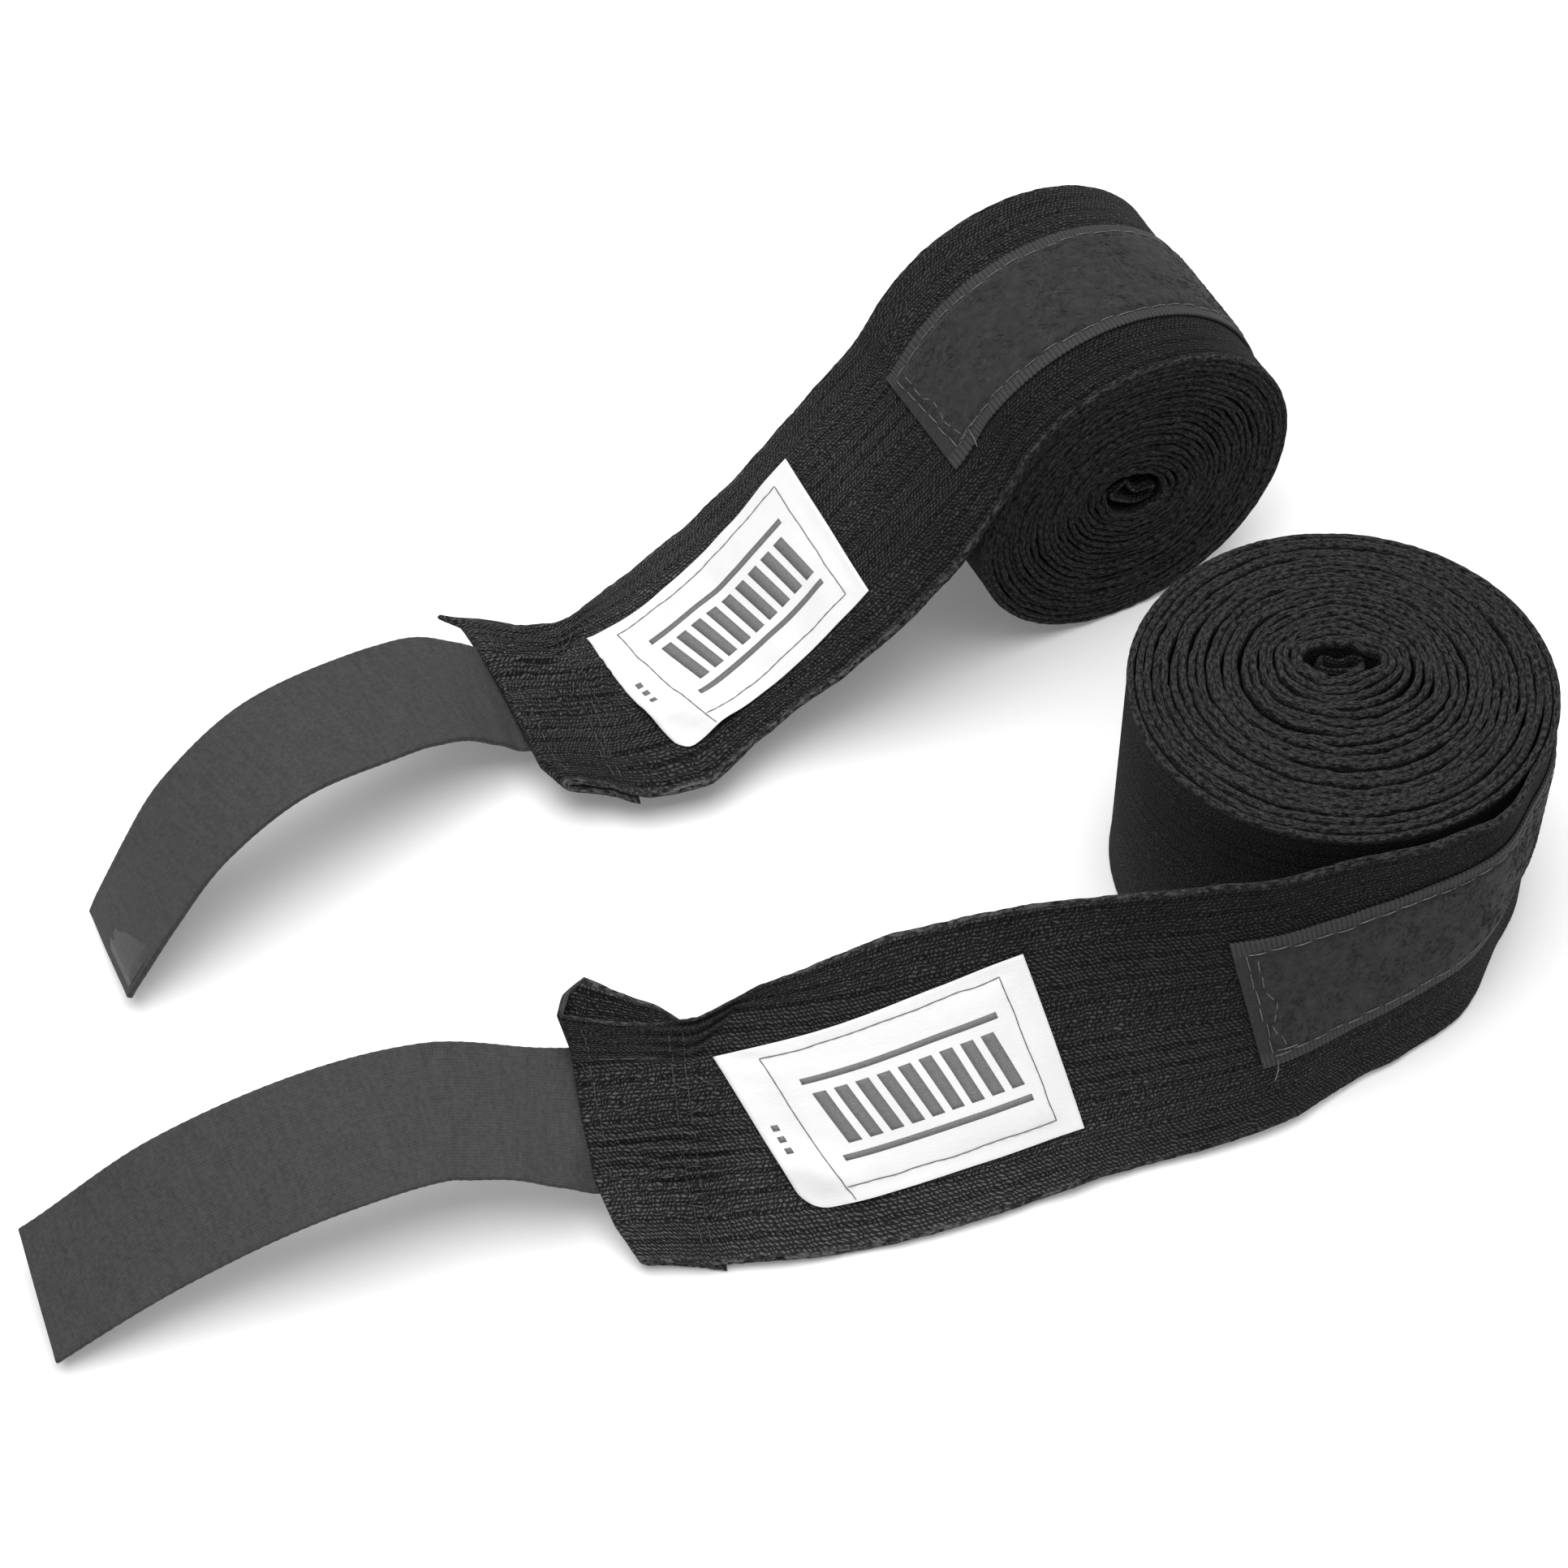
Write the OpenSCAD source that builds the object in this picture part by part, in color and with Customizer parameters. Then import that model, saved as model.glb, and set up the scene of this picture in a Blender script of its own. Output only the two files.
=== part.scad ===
// A pair of hand wraps. Each is one long woven tape, rolled up from its thumb loop outwards,
// with the fastening end left out: a loop patch, a sewn label, a turned-under hem and a hook strap.
// The front wrap stands on its edge, and the rear wrap lies on its side.
// Millimetres. Origin: the foot of the upright roll's axis, on the floor. +Z is up.

/* [Tape] */
// Width of the woven tape
tape_w = 50; // [48:0.5:50]
// Thickness of the woven tape
tape_t = 1; // [0.8:0.05:1]
// Air between two layers that are sewn together
layer_gap = 0.12; // [0.1:0.01:0.15]

/* [Rolls] */
// Half turns of tape in the upright roll
front_half_turns = 42; // [40:2:42]
// Growth of the upright roll's radius in one whole turn
front_pitch = 1.44; // [1.42:0.01:1.44]
// Radius of the hole in the middle of the upright roll
front_core_r = 5.5; // [5.4:0.1:5.6]
// Half turns of tape in the roll that lies down
rear_half_turns = 46; // [44:2:46]
// Growth of the lying roll's radius in one whole turn
rear_pitch = 1.13; // [1.11:0.01:1.13]
// Radius of the hole in the middle of the lying roll
rear_core_r = 6.4; // [6.3:0.1:6.5]

/* [Thumb loop] */
// Length of the upright wrap's flattened thumb loop across the roll
front_loop_l = 10.4; // [10:0.1:10.4]
// Length of the lying wrap's flattened thumb loop across the roll
rear_loop_l = 12.2; // [11.8:0.1:12.2]
// Depth of the flattened thumb loop across the roll
loop_d = 7.4; // [7:0.1:7.6]
// Width of the thumb loop along the roll's axis
loop_w = 46; // [40:1:48]

/* [Loop patch] */
// Width of the loop patch across the tape
patch_w = 25; // [20:1:30]
// Length of the loop patch along the tape
patch_l = 104; // [80:4:104]
// Thickness of the patch's woven backing
patch_t = 0.6; // [0.5:0.1:0.8]
// Height of the loop pile on the backing
pile_t = 1; // [0.8:0.1:1.2]
// Bare selvedge along each side of the pile
pile_margin = 2.5; // [2:0.5:4]

/* [Label] */
// Length of the label along the tape
label_l = 52; // [48:4:52]
// Width of the label across the tape
label_w = 33; // [28:1:36]
// Thickness of the label
label_t = 0.4; // [0.3:0.1:0.5]
// Distance from the upright wrap's fold line to its label
front_label_u = 32; // [28:4:32]
// Distance from the lying wrap's fold line to its label
rear_label_u = 24; // [20:4:24]

/* [Hem and hook strap] */
// Distance from the upright wrap's fold line to the end of its tape
front_tail_l = 112; // [108:4:112]
// Distance from the lying wrap's fold line to the end of its tape
rear_tail_l = 100; // [96:4:100]
// Depth of the turned-under hem
hem_l = 20; // [16:4:20]
// Width of the hook strap
strap_w = 25; // [20:1:28]
// Thickness of the hook strap's backing
strap_t = 1; // [0.8:0.1:1.2]
// Height of the hooks under the strap
hook_t = 0.7; // [0.5:0.1:0.8]
// Bare end of the strap next to the hem
hook_start = 26; // [20:1:40]
// Length of the hook strap past its fold line
strap_l = 97; // [80:1:97]
// Length of the strap that is sewn under the hem
root_l = 14; // [10:1:16]

/* [Stitches] */
// Thickness of the sewing thread
thread_d = 0.5; // [0.4:0.1:0.6]
// Length of one stitch
stitch_l = 3; // [2.5:0.5:4]

/* [Hidden] */

tape_color = [0.12, 0.12, 0.12];
strap_color = [0.25, 0.25, 0.25];
patch_color = [0.2, 0.2, 0.2];
pile_color = [0.26, 0.26, 0.26];
label_color = [0.93, 0.93, 0.92];
grey_thread = [0.55, 0.55, 0.55];
black_thread = [0.08, 0.08, 0.08];

// Grid along every ribbon, so that stacked layers bend at the same places
grid_u = 4;
// Points that the spline adds between two stations
spline_steps = 10;
// Clear space between a part that folds and the part that it folds from
fold_gap = 0.4;
// Air between the end of the roll and the tape that runs on from it
run_gap = 1.2;
// Air inside the turned-under hem
hem_gap = 0.3;
// The lying roll touches the floor with the last half turn but one
rear_axis_z = rear_core_r + (rear_half_turns - 2) * rear_pitch / 2 + tape_t;
// The lying roll's axis runs level and points to the right and forwards
rear_heading = -62.5;
rear_center = [-42, 81, rear_axis_z];
// The angle on each roll where its tape leaves it
front_exit = -30;
rear_exit = 138;
roll_facets = 96;

// Stations of the upright wrap's tape after it leaves the roll: its middle line, then the
// direction of its upper edge. The third station is the fold line beside the loop patch.
front_free = [
  [22, -32.7, 25, 0, 0.1, 1],
  [-4, -45.5, 24.6, -0.12, 0.27, 0.96],
  [-18, -50, 23.5, -0.2, 0.4, 0.9],
  [-46, -53, 19, -0.22, 0.66, 0.72],
  [-65, -57, 16.4, -0.21, 0.77, 0.6],
  [-85, -62, 15.8, -0.22, 0.79, 0.57],
  [-106, -65, 16, -0.25, 0.8, 0.55],
  [-140, -68.5, 15.8, -0.3, 0.8, 0.52]
];
front_fold_station = 2;
// Stations of the lying wrap's tape after it leaves the roll. The first one is its fold line.
rear_free = [
  [-69.5, 65.3, 46, -0.47, 0.88, 0],
  [-78, 60.5, 37, -0.47, 0.88, 0.03],
  [-87.5, 55, 28, -0.46, 0.88, 0.06],
  [-106, 44.5, 13.5, -0.46, 0.88, 0.04],
  [-124.5, 35.5, 7, -0.44, 0.89, 0],
  [-147, 30.5, 10, -0.42, 0.9, 0],
  [-160, 27, 13, -0.42, 0.9, 0]
];
rear_fold_station = 0;
// Stations of the two hook straps after they leave the hem
front_strap_free = [
  [-150, -68, 19, -0.22, 0.84, 0.48],
  [-172, -76.5, 22, -0.2, 0.86, 0.46],
  [-196, -85.5, 17, -0.2, 0.9, 0.38],
  [-217, -94, 5.5, -0.2, 0.93, 0.3],
  [-229, -99, 0, -0.2, 0.94, 0.27]
];
rear_strap_free = [
  [-159, 23, 18, -0.43, 0.9, 0],
  [-172, 14, 25, -0.48, 0.87, -0.05],
  [-186, 3, 27, -0.52, 0.84, -0.1],
  [-198, -8, 22, -0.5, 0.85, -0.12],
  [-207, -16.5, 14, -0.42, 0.9, -0.12],
  [-214, -22, 5, -0.36, 0.92, -0.12],
  [-217, -24.5, -1, -0.34, 0.93, -0.12]
];

// ---- Splines and ribbons ----

function unit(v) = v / norm(v);
function place(q) = [q[0], q[1], q[2]];
function inside(i, n) = max(0, min(n - 1, i));

// Catmull-Rom curve between b and c
function bend(a, b, c, d, t) =
  b + 0.5 * t * (c - a + t * (2 * a - 5 * b + 4 * c - d + t * (3 * b - a - 3 * c + d)));

// Smooth list of points through the stations p, started with the heading lead
function spline(p, lead) =
  let (n = len(p), before = p[1] - 2 * norm(place(p[1] - p[0])) * lead)
  [
    for (i = [0 : n - 2], k = [0 : spline_steps - 1])
      bend(
        i == 0 ? before : p[i - 1], p[i], p[i + 1],
        p[inside(i + 2, n)], k / spline_steps
      ),
    p[n - 1]
  ];

// Distance along the points q up to each of them
function lengths(q) = [
  for (i = 0, s = 0; i < len(q); s = s + (i + 1 < len(q) ? norm(place(q[i + 1] - q[i])) : 0), i = i + 1)
    s
];

// Six lookup tables, one for each number of a station, by distance from the point at index zero
function path(q, zero) =
  let (s = lengths(q))
  [for (c = [0 : 5]) [for (i = [0 : len(q) - 1]) [s[i] - s[zero], q[i][c]]]];

// Middle, width direction and outward normal of a path at the distance u
function at(p, u) =
  let (
    m = [for (c = [0 : 2]) lookup(u, p[c])],
    w = [for (c = [3 : 5]) lookup(u, p[c])],
    ahead = [for (c = [0 : 2]) lookup(u + 0.6, p[c]) - lookup(u - 0.6, p[c])],
    t = unit(ahead),
    w_square = unit(w - t * (w * t))
  )
  [m, w_square, cross(w_square, t)];

// The point at distance u, across v and height z on a path
function on(p, u, v, z) = let (f = at(p, u)) f[0] + v * f[1] + z * f[2];

// Grid lines from u0 to u1, with both ends
function grid(u0, u1) = [
  u0,
  for (k = [ceil((u0 + 0.4) / grid_u) : floor((u1 - 0.4) / grid_u)]) k * grid_u,
  u1
];

// Lines across a ribbon from -w/2 to w/2
function across(w) =
  let (n = ceil(w / 9)) [for (j = [0 : n]) w * (j / n - 0.5)];

// Flat layer between the heights z0 and z1: pairs of [u, z], upper face first
function layer(u0, u1, z0, z1) = [for (u = grid(u0, u1)) [[u, z1], [u, z0]]];

// Half-round nose at u, which points back along the ribbon
function nose(u, r, z) = [
  for (a = [10, 35, 60]) [[u - r * cos(a), z + r * sin(a)], [u - r * cos(a), z - r * sin(a)]]
];

// Closed solid on a path: rings of [upper, lower] points, drawn across the lines vs
module ribbon(p, rings, vs) {
  n = len(vs);
  m = len(rings);
  frames = [for (r = rings) [at(p, r[0][0]), at(p, r[1][0])]];
  points = [
    for (i = [0 : m - 1], side = [0, 1], v = vs)
      frames[i][side][0] + v * frames[i][side][1] + rings[i][side][1] * frames[i][side][2]
  ];
  function id(i, side, j) = (i * 2 + side) * n + j;
  faces = [
    for (i = [0 : m - 2], j = [0 : n - 2]) each [
      [id(i, 0, j), id(i + 1, 0, j + 1), id(i + 1, 0, j)],
      [id(i, 0, j), id(i, 0, j + 1), id(i + 1, 0, j + 1)],
      [id(i, 1, j), id(i + 1, 1, j), id(i + 1, 1, j + 1)],
      [id(i, 1, j), id(i + 1, 1, j + 1), id(i, 1, j + 1)]
    ],
    for (i = [0 : m - 2]) each [
      [id(i, 0, 0), id(i + 1, 0, 0), id(i + 1, 1, 0)],
      [id(i, 0, 0), id(i + 1, 1, 0), id(i, 1, 0)],
      [id(i, 0, n - 1), id(i + 1, 1, n - 1), id(i + 1, 0, n - 1)],
      [id(i, 0, n - 1), id(i, 1, n - 1), id(i + 1, 1, n - 1)]
    ],
    for (j = [0 : n - 2]) each [
      [id(0, 0, j), id(0, 1, j), id(0, 1, j + 1)],
      [id(0, 0, j), id(0, 1, j + 1), id(0, 0, j + 1)],
      [id(m - 1, 0, j), id(m - 1, 1, j + 1), id(m - 1, 1, j)],
      [id(m - 1, 0, j), id(m - 1, 0, j + 1), id(m - 1, 1, j + 1)]
    ]
  ];
  polyhedron(points, faces, convexity = 8);
}

// One straight stitch between two points [u, v] at the height z, as a four-sided bar
module stitch(p, a, b, z) {
  from = on(p, a[0], a[1], z);
  to = on(p, b[0], b[1], z);
  up = at(p, a[0])[2] * thread_d / 2;
  side = unit(cross(to - from, up)) * thread_d / 2;
  points = [for (e = [from, to], d = [up, side, -up, -side]) e + d];
  polyhedron(points, [
    [3, 2, 1, 0], [4, 5, 6, 7],
    for (k = [0 : 3]) [k, (k + 1) % 4, 4 + (k + 1) % 4, 4 + k]
  ]);
}

// A row of stitches from a to b with gaps between them
module stitch_row(p, a, b, z) {
  n = max(1, round(norm(b - a) / (stitch_l * 1.6)));
  for (k = [0 : n - 1])
    stitch(p, a + (b - a) * (k + 0.2) / n, a + (b - a) * (k + 0.8) / n, z);
}

// Rows of stitches round a rectangle from u0 to u1, w across
module stitch_frame(p, u0, u1, w, z) {
  stitch_row(p, [u0, -w / 2], [u1, -w / 2], z);
  stitch_row(p, [u1, -w / 2], [u1, w / 2], z);
  stitch_row(p, [u1, w / 2], [u0, w / 2], z);
  stitch_row(p, [u0, w / 2], [u0, -w / 2], z);
}

// ---- The two rolls ----

// Spiral of tape from half rings about two centres. It grows counter-clockwise.
module spiral(core_r, pitch, half_turns) {
  shift = pitch / 2;
  for (k = [0 : half_turns - 1])
    translate([k % 2 == 0 ? 0 : shift, 0, 0])
      rotate([0, 0, 180 * (k % 2)])
        rotate_extrude(angle = 180, $fn = roll_facets)
          translate([core_r + k * shift, 0])
            square([tape_t, tape_w]);
}

// Place for what is drawn in the lying roll's own frame, with the roll's axis on Z
module in_rear_roll()
  translate(rear_center)
    rotate([0, 0, rear_heading])
      rotate([90, 0, 90])
        translate([0, 0, -tape_w / 2])
          children();

// Middle radius of the outermost half turn
function outer_r(core_r, pitch, half_turns) = core_r + (half_turns - 1) * pitch / 2 + tape_t / 2;
front_r = outer_r(front_core_r, front_pitch, front_half_turns);
rear_r = outer_r(rear_core_r, rear_pitch, rear_half_turns);

// The outermost half turn starts well back on the roll, so that the loop patch can lie on it
arc_back = 175;
arc_step = 5;
front_arc = [
  for (a = [arc_back : -arc_step : 0])
    let (c = front_pitch / 2 * [cos(front_exit), sin(front_exit)], b = front_exit + a)
    [c[0] + front_r * cos(b), c[1] + front_r * sin(b), tape_w / 2, 0, 0, 1]
];
rear_across = [cos(rear_heading + 90), sin(rear_heading + 90), 0];
rear_along = [cos(rear_heading), sin(rear_heading), 0];
rear_arc = [
  for (a = [arc_back : -arc_step : 0])
    let (
      b = rear_exit - a,
      c = rear_center + rear_pitch / 2 * (cos(rear_exit) * rear_across + [0, 0, sin(rear_exit)]),
      m = c + rear_r * (cos(b) * rear_across + [0, 0, sin(b)])
    )
    [m[0], m[1], m[2], -rear_along[0], -rear_along[1], 0]
];

// Stations after the arc, joined smoothly to it
function free_run(arc, stations) =
  let (e = arc[len(arc) - 1], f = arc[len(arc) - 2])
  spline(concat([e], stations), (e - f) / norm(place(e - f)));
function tape_points(arc, stations) =
  concat([for (i = [0 : len(arc) - 2]) arc[i]], free_run(arc, stations));
function fold_index(arc, station) = len(arc) - 1 + spline_steps * (station + 1);

front_path = path(tape_points(front_arc, front_free), fold_index(front_arc, front_fold_station));
rear_path = path(tape_points(rear_arc, rear_free), fold_index(rear_arc, rear_fold_station));
// Place along each path, counted from the fold line, where the tape leaves its roll
front_leave_u = front_path[0][len(front_arc) - 1][0];
rear_leave_u = rear_path[0][len(rear_arc) - 1][0];

// ---- Heights of the layers above the tape's middle ----

half_t = tape_t / 2;
patch_z0 = half_t + layer_gap;
patch_z1 = patch_z0 + patch_t;
pile_z0 = patch_z1 + layer_gap / 2;
label_z0 = half_t + layer_gap;
label_z1 = label_z0 + label_t;
hem_z1 = -half_t - hem_gap;
hem_z0 = hem_z1 - tape_t;
root_z1 = hem_z0 - layer_gap;
root_z0 = root_z1 - strap_t;
root_z = (root_z0 + root_z1) / 2;
// The loop patch stops short of the fold line, and so does the tape behind it
patch_end_u = -2;
run_end_u = -half_t - fold_gap;
// The strap folds about a line beyond the hem's round end
hem_bulge = tape_t + hem_gap / 2;
strap_axis_gap = hem_bulge + 1.5;
front_axis_u = front_tail_l + strap_axis_gap;
rear_axis_u = rear_tail_l + strap_axis_gap;

// The straps start at the hem, under the tape
function strap_stations(p, axis_u, stations) =
  let (f = at(p, axis_u), m = f[0] + root_z * f[2])
  concat([[m[0], m[1], m[2], f[1][0], f[1][1], f[1][2]]], stations);
function strap_lead(p, axis_u) =
  let (t = unit(at(p, axis_u)[0] - at(p, axis_u - 2)[0]))
  [t[0], t[1], t[2], 0, 0, 0];
// A short straight stretch before the fold line lets the strap's nose reach back over it
function strap_points(p, axis_u, stations) =
  let (s = strap_stations(p, axis_u, stations), lead = strap_lead(p, axis_u))
  concat([s[0] - 3 * lead], spline(s, lead));
front_strap_path = path(strap_points(front_path, front_axis_u, front_strap_free), 1);
rear_strap_path = path(strap_points(rear_path, rear_axis_u, rear_strap_free), 1);

// ---- Sub-parts of one wrap, on its paths ----

module thumb_loop(l) {
  translate([0, 0, (tape_w - loop_w) / 2])
    linear_extrude(loop_w)
      difference() {
        slot(l, loop_d);
        slot(l - 2 * tape_t, loop_d - 2 * tape_t);
      }
}

// A slot outline of length l and depth d
module slot(l, d) {
  square([l - d, d], center = true);
  for (x = [-1, 1])
    translate([x * (l - d) / 2, 0])
      circle(d = d, $fn = 48);
}

// Thread bars that hold the thumb loop to the tape's inner end, in the direction a
module thumb_loop_bartack(core_r, a) {
  bars = 9;
  bar_l = 2.6;
  for (k = [0 : bars - 1])
    rotate([0, 0, a])
      translate([core_r + 0.6 - bar_l, 0, tape_w / 2 + (k - (bars - 1) / 2) * 2.4])
        rotate([0, 90, 0])
          cylinder(h = bar_l, d = thread_d, $fn = 16);
}

// The tape between the roll and the fold line
module tape_run(p, leave_u)
  ribbon(p, layer(leave_u + run_gap, run_end_u, -half_t, half_t), across(tape_w));

// The backing of the loop patch
module loop_patch(p)
  ribbon(p, layer(patch_end_u - patch_l, patch_end_u, patch_z0, patch_z1), across(patch_w));

// The soft loops between the patch's two selvedges
module loop_pile(p)
  ribbon(
    p,
    layer(patch_end_u - patch_l, patch_end_u, pile_z0, pile_z0 + pile_t),
    across(patch_w - 2 * pile_margin)
  );

module patch_stitching(p)
  stitch_frame(p, patch_end_u - patch_l + 1.4, patch_end_u - 1.4, patch_w - 2.4, patch_z1);

// The free end of the tape, with its hem turned under
module tape_tail(p, tail_l) {
  mid_z = -half_t - hem_gap / 2;
  outer = hem_bulge;
  inner = hem_gap / 2;
  turned = layer(tail_l - hem_l, tail_l, hem_z0, hem_z1);
  rings = concat(
    nose(0, half_t, 0),
    layer(0, tail_l, -half_t, half_t),
    [
      for (a = [60, 30, 0, -30, -60])
        [
          [tail_l + outer * cos(a), mid_z + outer * sin(a)],
          [tail_l + inner * cos(a), mid_z + inner * sin(a)]
        ]
    ],
    [for (i = [len(turned) - 1 : -1 : 0]) [turned[i][1], turned[i][0]]]
  );
  ribbon(p, rings, across(tape_w));
}

module label(p, label_u)
  ribbon(p, layer(label_u, label_u + label_l, label_z0, label_z1), across(label_w));

module label_stitching(p, label_u)
  stitch_frame(p, label_u + 2, label_u + label_l - 2, label_w - 4, label_z1);

// The end of the hook strap that is sewn under the hem
module strap_root(p, tail_l)
  ribbon(p, layer(tail_l - root_l, tail_l + 1, root_z0, root_z1), across(strap_w));

// Rows of stitches through the hem, and the frame that holds the strap
module hem_stitching(p, tail_l) {
  edge = tail_l - hem_l + 3;
  for (u = [edge, edge + 2.4])
    stitch_row(p, [u, -tape_w / 2 + 3], [u, tape_w / 2 - 3], half_t);
  stitch_row(p, [tail_l - 2, -strap_w / 2], [tail_l - 2, strap_w / 2], half_t);
  for (side = [-1, 1])
    stitch_row(
      p,
      [edge + 4, side * (strap_w / 2 - 2)],
      [tail_l - 3, side * (strap_w / 2 - 2)],
      half_t
    );
}

// The smooth backing of the hook strap
module hook_strap(p)
  ribbon(
    p,
    concat(nose(0, strap_t / 2, 0), layer(0, strap_l, -strap_t / 2, strap_t / 2)),
    across(strap_w)
  );

// The hooks under the strap
module hook_field(p)
  ribbon(
    p,
    layer(hook_start, strap_l - 2, -strap_t / 2 - layer_gap - hook_t, -strap_t / 2 - layer_gap),
    across(strap_w - 3)
  );

// ---- The upright wrap ----

module front_rolled_tape()
  color(tape_color) rotate([0, 0, front_exit]) mirror([0, 1, 0]) spiral(front_core_r, front_pitch, front_half_turns);
module front_tape_run() color(tape_color) tape_run(front_path, front_leave_u);
module front_thumb_loop() color(tape_color) thumb_loop(front_loop_l);
module front_thumb_loop_bartack() color(black_thread) thumb_loop_bartack(front_core_r, front_exit - 15);
module front_loop_patch() color(patch_color) loop_patch(front_path);
module front_loop_pile() color(pile_color) loop_pile(front_path);
module front_patch_stitching() color(grey_thread) patch_stitching(front_path);
module front_tape_tail() color(tape_color) tape_tail(front_path, front_tail_l);
module front_label() color(label_color) label(front_path, front_label_u);
module front_label_stitching() color(grey_thread) label_stitching(front_path, front_label_u);
module front_strap_root() color(strap_color) strap_root(front_path, front_tail_l);
module front_hem_stitching() color(black_thread) hem_stitching(front_path, front_tail_l);
module front_hook_strap() color(strap_color) hook_strap(front_strap_path);
module front_hook_field() color(pile_color) hook_field(front_strap_path);

// ---- The lying wrap ----

module rear_rolled_tape()
  color(tape_color) in_rear_roll() rotate([0, 0, rear_exit]) spiral(rear_core_r, rear_pitch, rear_half_turns);
module rear_tape_run() color(tape_color) tape_run(rear_path, rear_leave_u);
module rear_thumb_loop() color(tape_color) in_rear_roll() thumb_loop(rear_loop_l);
module rear_thumb_loop_bartack() color(black_thread) in_rear_roll() thumb_loop_bartack(rear_core_r, rear_exit + 30);
module rear_loop_patch() color(patch_color) loop_patch(rear_path);
module rear_loop_pile() color(pile_color) loop_pile(rear_path);
module rear_patch_stitching() color(grey_thread) patch_stitching(rear_path);
module rear_tape_tail() color(tape_color) tape_tail(rear_path, rear_tail_l);
module rear_label() color(label_color) label(rear_path, rear_label_u);
module rear_label_stitching() color(grey_thread) label_stitching(rear_path, rear_label_u);
module rear_strap_root() color(strap_color) strap_root(rear_path, rear_tail_l);
module rear_hem_stitching() color(black_thread) hem_stitching(rear_path, rear_tail_l);
module rear_hook_strap() color(strap_color) hook_strap(rear_strap_path);
module rear_hook_field() color(pile_color) hook_field(rear_strap_path);

front_rolled_tape();
front_tape_run();
front_thumb_loop();
front_thumb_loop_bartack();
front_loop_patch();
front_loop_pile();
front_patch_stitching();
front_tape_tail();
front_label();
front_label_stitching();
front_strap_root();
front_hem_stitching();
front_hook_strap();
front_hook_field();
rear_rolled_tape();
rear_tape_run();
rear_thumb_loop();
rear_thumb_loop_bartack();
rear_loop_patch();
rear_loop_pile();
rear_patch_stitching();
rear_tape_tail();
rear_label();
rear_label_stitching();
rear_strap_root();
rear_hem_stitching();
rear_hook_strap();
rear_hook_field();
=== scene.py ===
import math

import bpy
import numpy as np
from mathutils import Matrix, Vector


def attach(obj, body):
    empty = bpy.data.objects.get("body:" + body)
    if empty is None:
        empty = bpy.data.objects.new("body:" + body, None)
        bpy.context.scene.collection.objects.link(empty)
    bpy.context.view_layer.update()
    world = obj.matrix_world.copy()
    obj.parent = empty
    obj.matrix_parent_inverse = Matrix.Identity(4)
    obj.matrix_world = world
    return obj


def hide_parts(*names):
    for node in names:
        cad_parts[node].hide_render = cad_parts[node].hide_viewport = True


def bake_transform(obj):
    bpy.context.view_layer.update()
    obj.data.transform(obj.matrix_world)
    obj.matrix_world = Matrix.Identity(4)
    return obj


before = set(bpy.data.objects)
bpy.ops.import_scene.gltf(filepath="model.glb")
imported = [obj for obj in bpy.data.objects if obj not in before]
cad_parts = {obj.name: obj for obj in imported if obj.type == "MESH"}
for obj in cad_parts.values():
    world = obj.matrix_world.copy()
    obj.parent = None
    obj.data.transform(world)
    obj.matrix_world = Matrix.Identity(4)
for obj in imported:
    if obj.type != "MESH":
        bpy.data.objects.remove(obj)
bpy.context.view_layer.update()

# Two rolled cotton hand wraps. One stands on its edge (front), the other lies on its side (rear).
# All lengths below are millimetres until build() turns them into metres.

MM = 0.001
TINY = 1e-9
rng = np.random.default_rng(11)

TAPE_W = 50.0
TAPE_T = 1.0
HEM_GAP = 0.3
HEM_MID = -(TAPE_T + HEM_GAP)
HEM_L = 20.0
# How far the free tape stays above the floor
FLOOR_GAP = 0.1
STRAP_W = 25.0
STRAP_T = 1.0
ROOT_Z = -2.42
AXIS_GAP = 2.65
PATCH_W = 25.0
PATCH_L = 104.0
PATCH_END = -2.0
LABEL_L = 52.0
LABEL_W = 33.0
BAND = 3.4
FLIP = 8.5


# ---- Smooth repeatable noise ----

def lattice(i, j, k, seed):
    n = (i * 73856093) ^ (j * 19349663) ^ (k * 83492791) ^ (seed * 2654435761)
    n = ((n ^ (n >> 13)) * 1274126177) & 0x7FFFFFFF
    n = (n ^ (n >> 16)) & 0xFFFF
    return n / 32767.5 - 1


def noise(x, y=0.0, z=0.0, seed=0):
    """Value noise from -1 to 1, with one cell per unit."""
    axes = np.broadcast_arrays(np.asarray(x, float), np.asarray(y, float), np.asarray(z, float))
    cells = [np.floor(a).astype(np.int64) for a in axes]
    parts = [a - c for a, c in zip(axes, cells)]
    parts = [t * t * (3 - 2 * t) for t in parts]
    total = 0
    for corner in range(8):
        bits = [(corner >> k) & 1 for k in range(3)]
        weight = 1
        for bit, part in zip(bits, parts):
            weight = weight * (part if bit else 1 - part)
        total = total + weight * lattice(*(c + b for c, b in zip(cells, bits)), seed)
    return total


def ramp(a, b, x):
    """0 before a, 1 after b, smooth between."""
    t = np.clip((np.asarray(x, float) - a) / (b - a), 0, 1)
    return t * t * (3 - 2 * t)


def hump(middle, half, x):
    """1 at the middle, 0 beyond half on either side, smooth between."""
    return 1 - ramp(0, half, np.abs(np.asarray(x, float) - middle))


def steps(x, *pairs):
    """Straight lines through (x, y) pairs."""
    return np.interp(x, [p[0] for p in pairs], [p[1] for p in pairs])


# ---- Paths ----

def unit(vectors, tiny=0.0):
    """Vectors of length 1. A tiny number keeps one of no length from dividing by 0."""
    return vectors / (np.linalg.norm(vectors, axis=-1, keepdims=True) + tiny)


def bend(a, b, c, d, t):
    return b + 0.5 * t * (c - a + t * (2 * a - 5 * b + 4 * c - d + t * (3 * b - a - 3 * c + d)))


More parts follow.
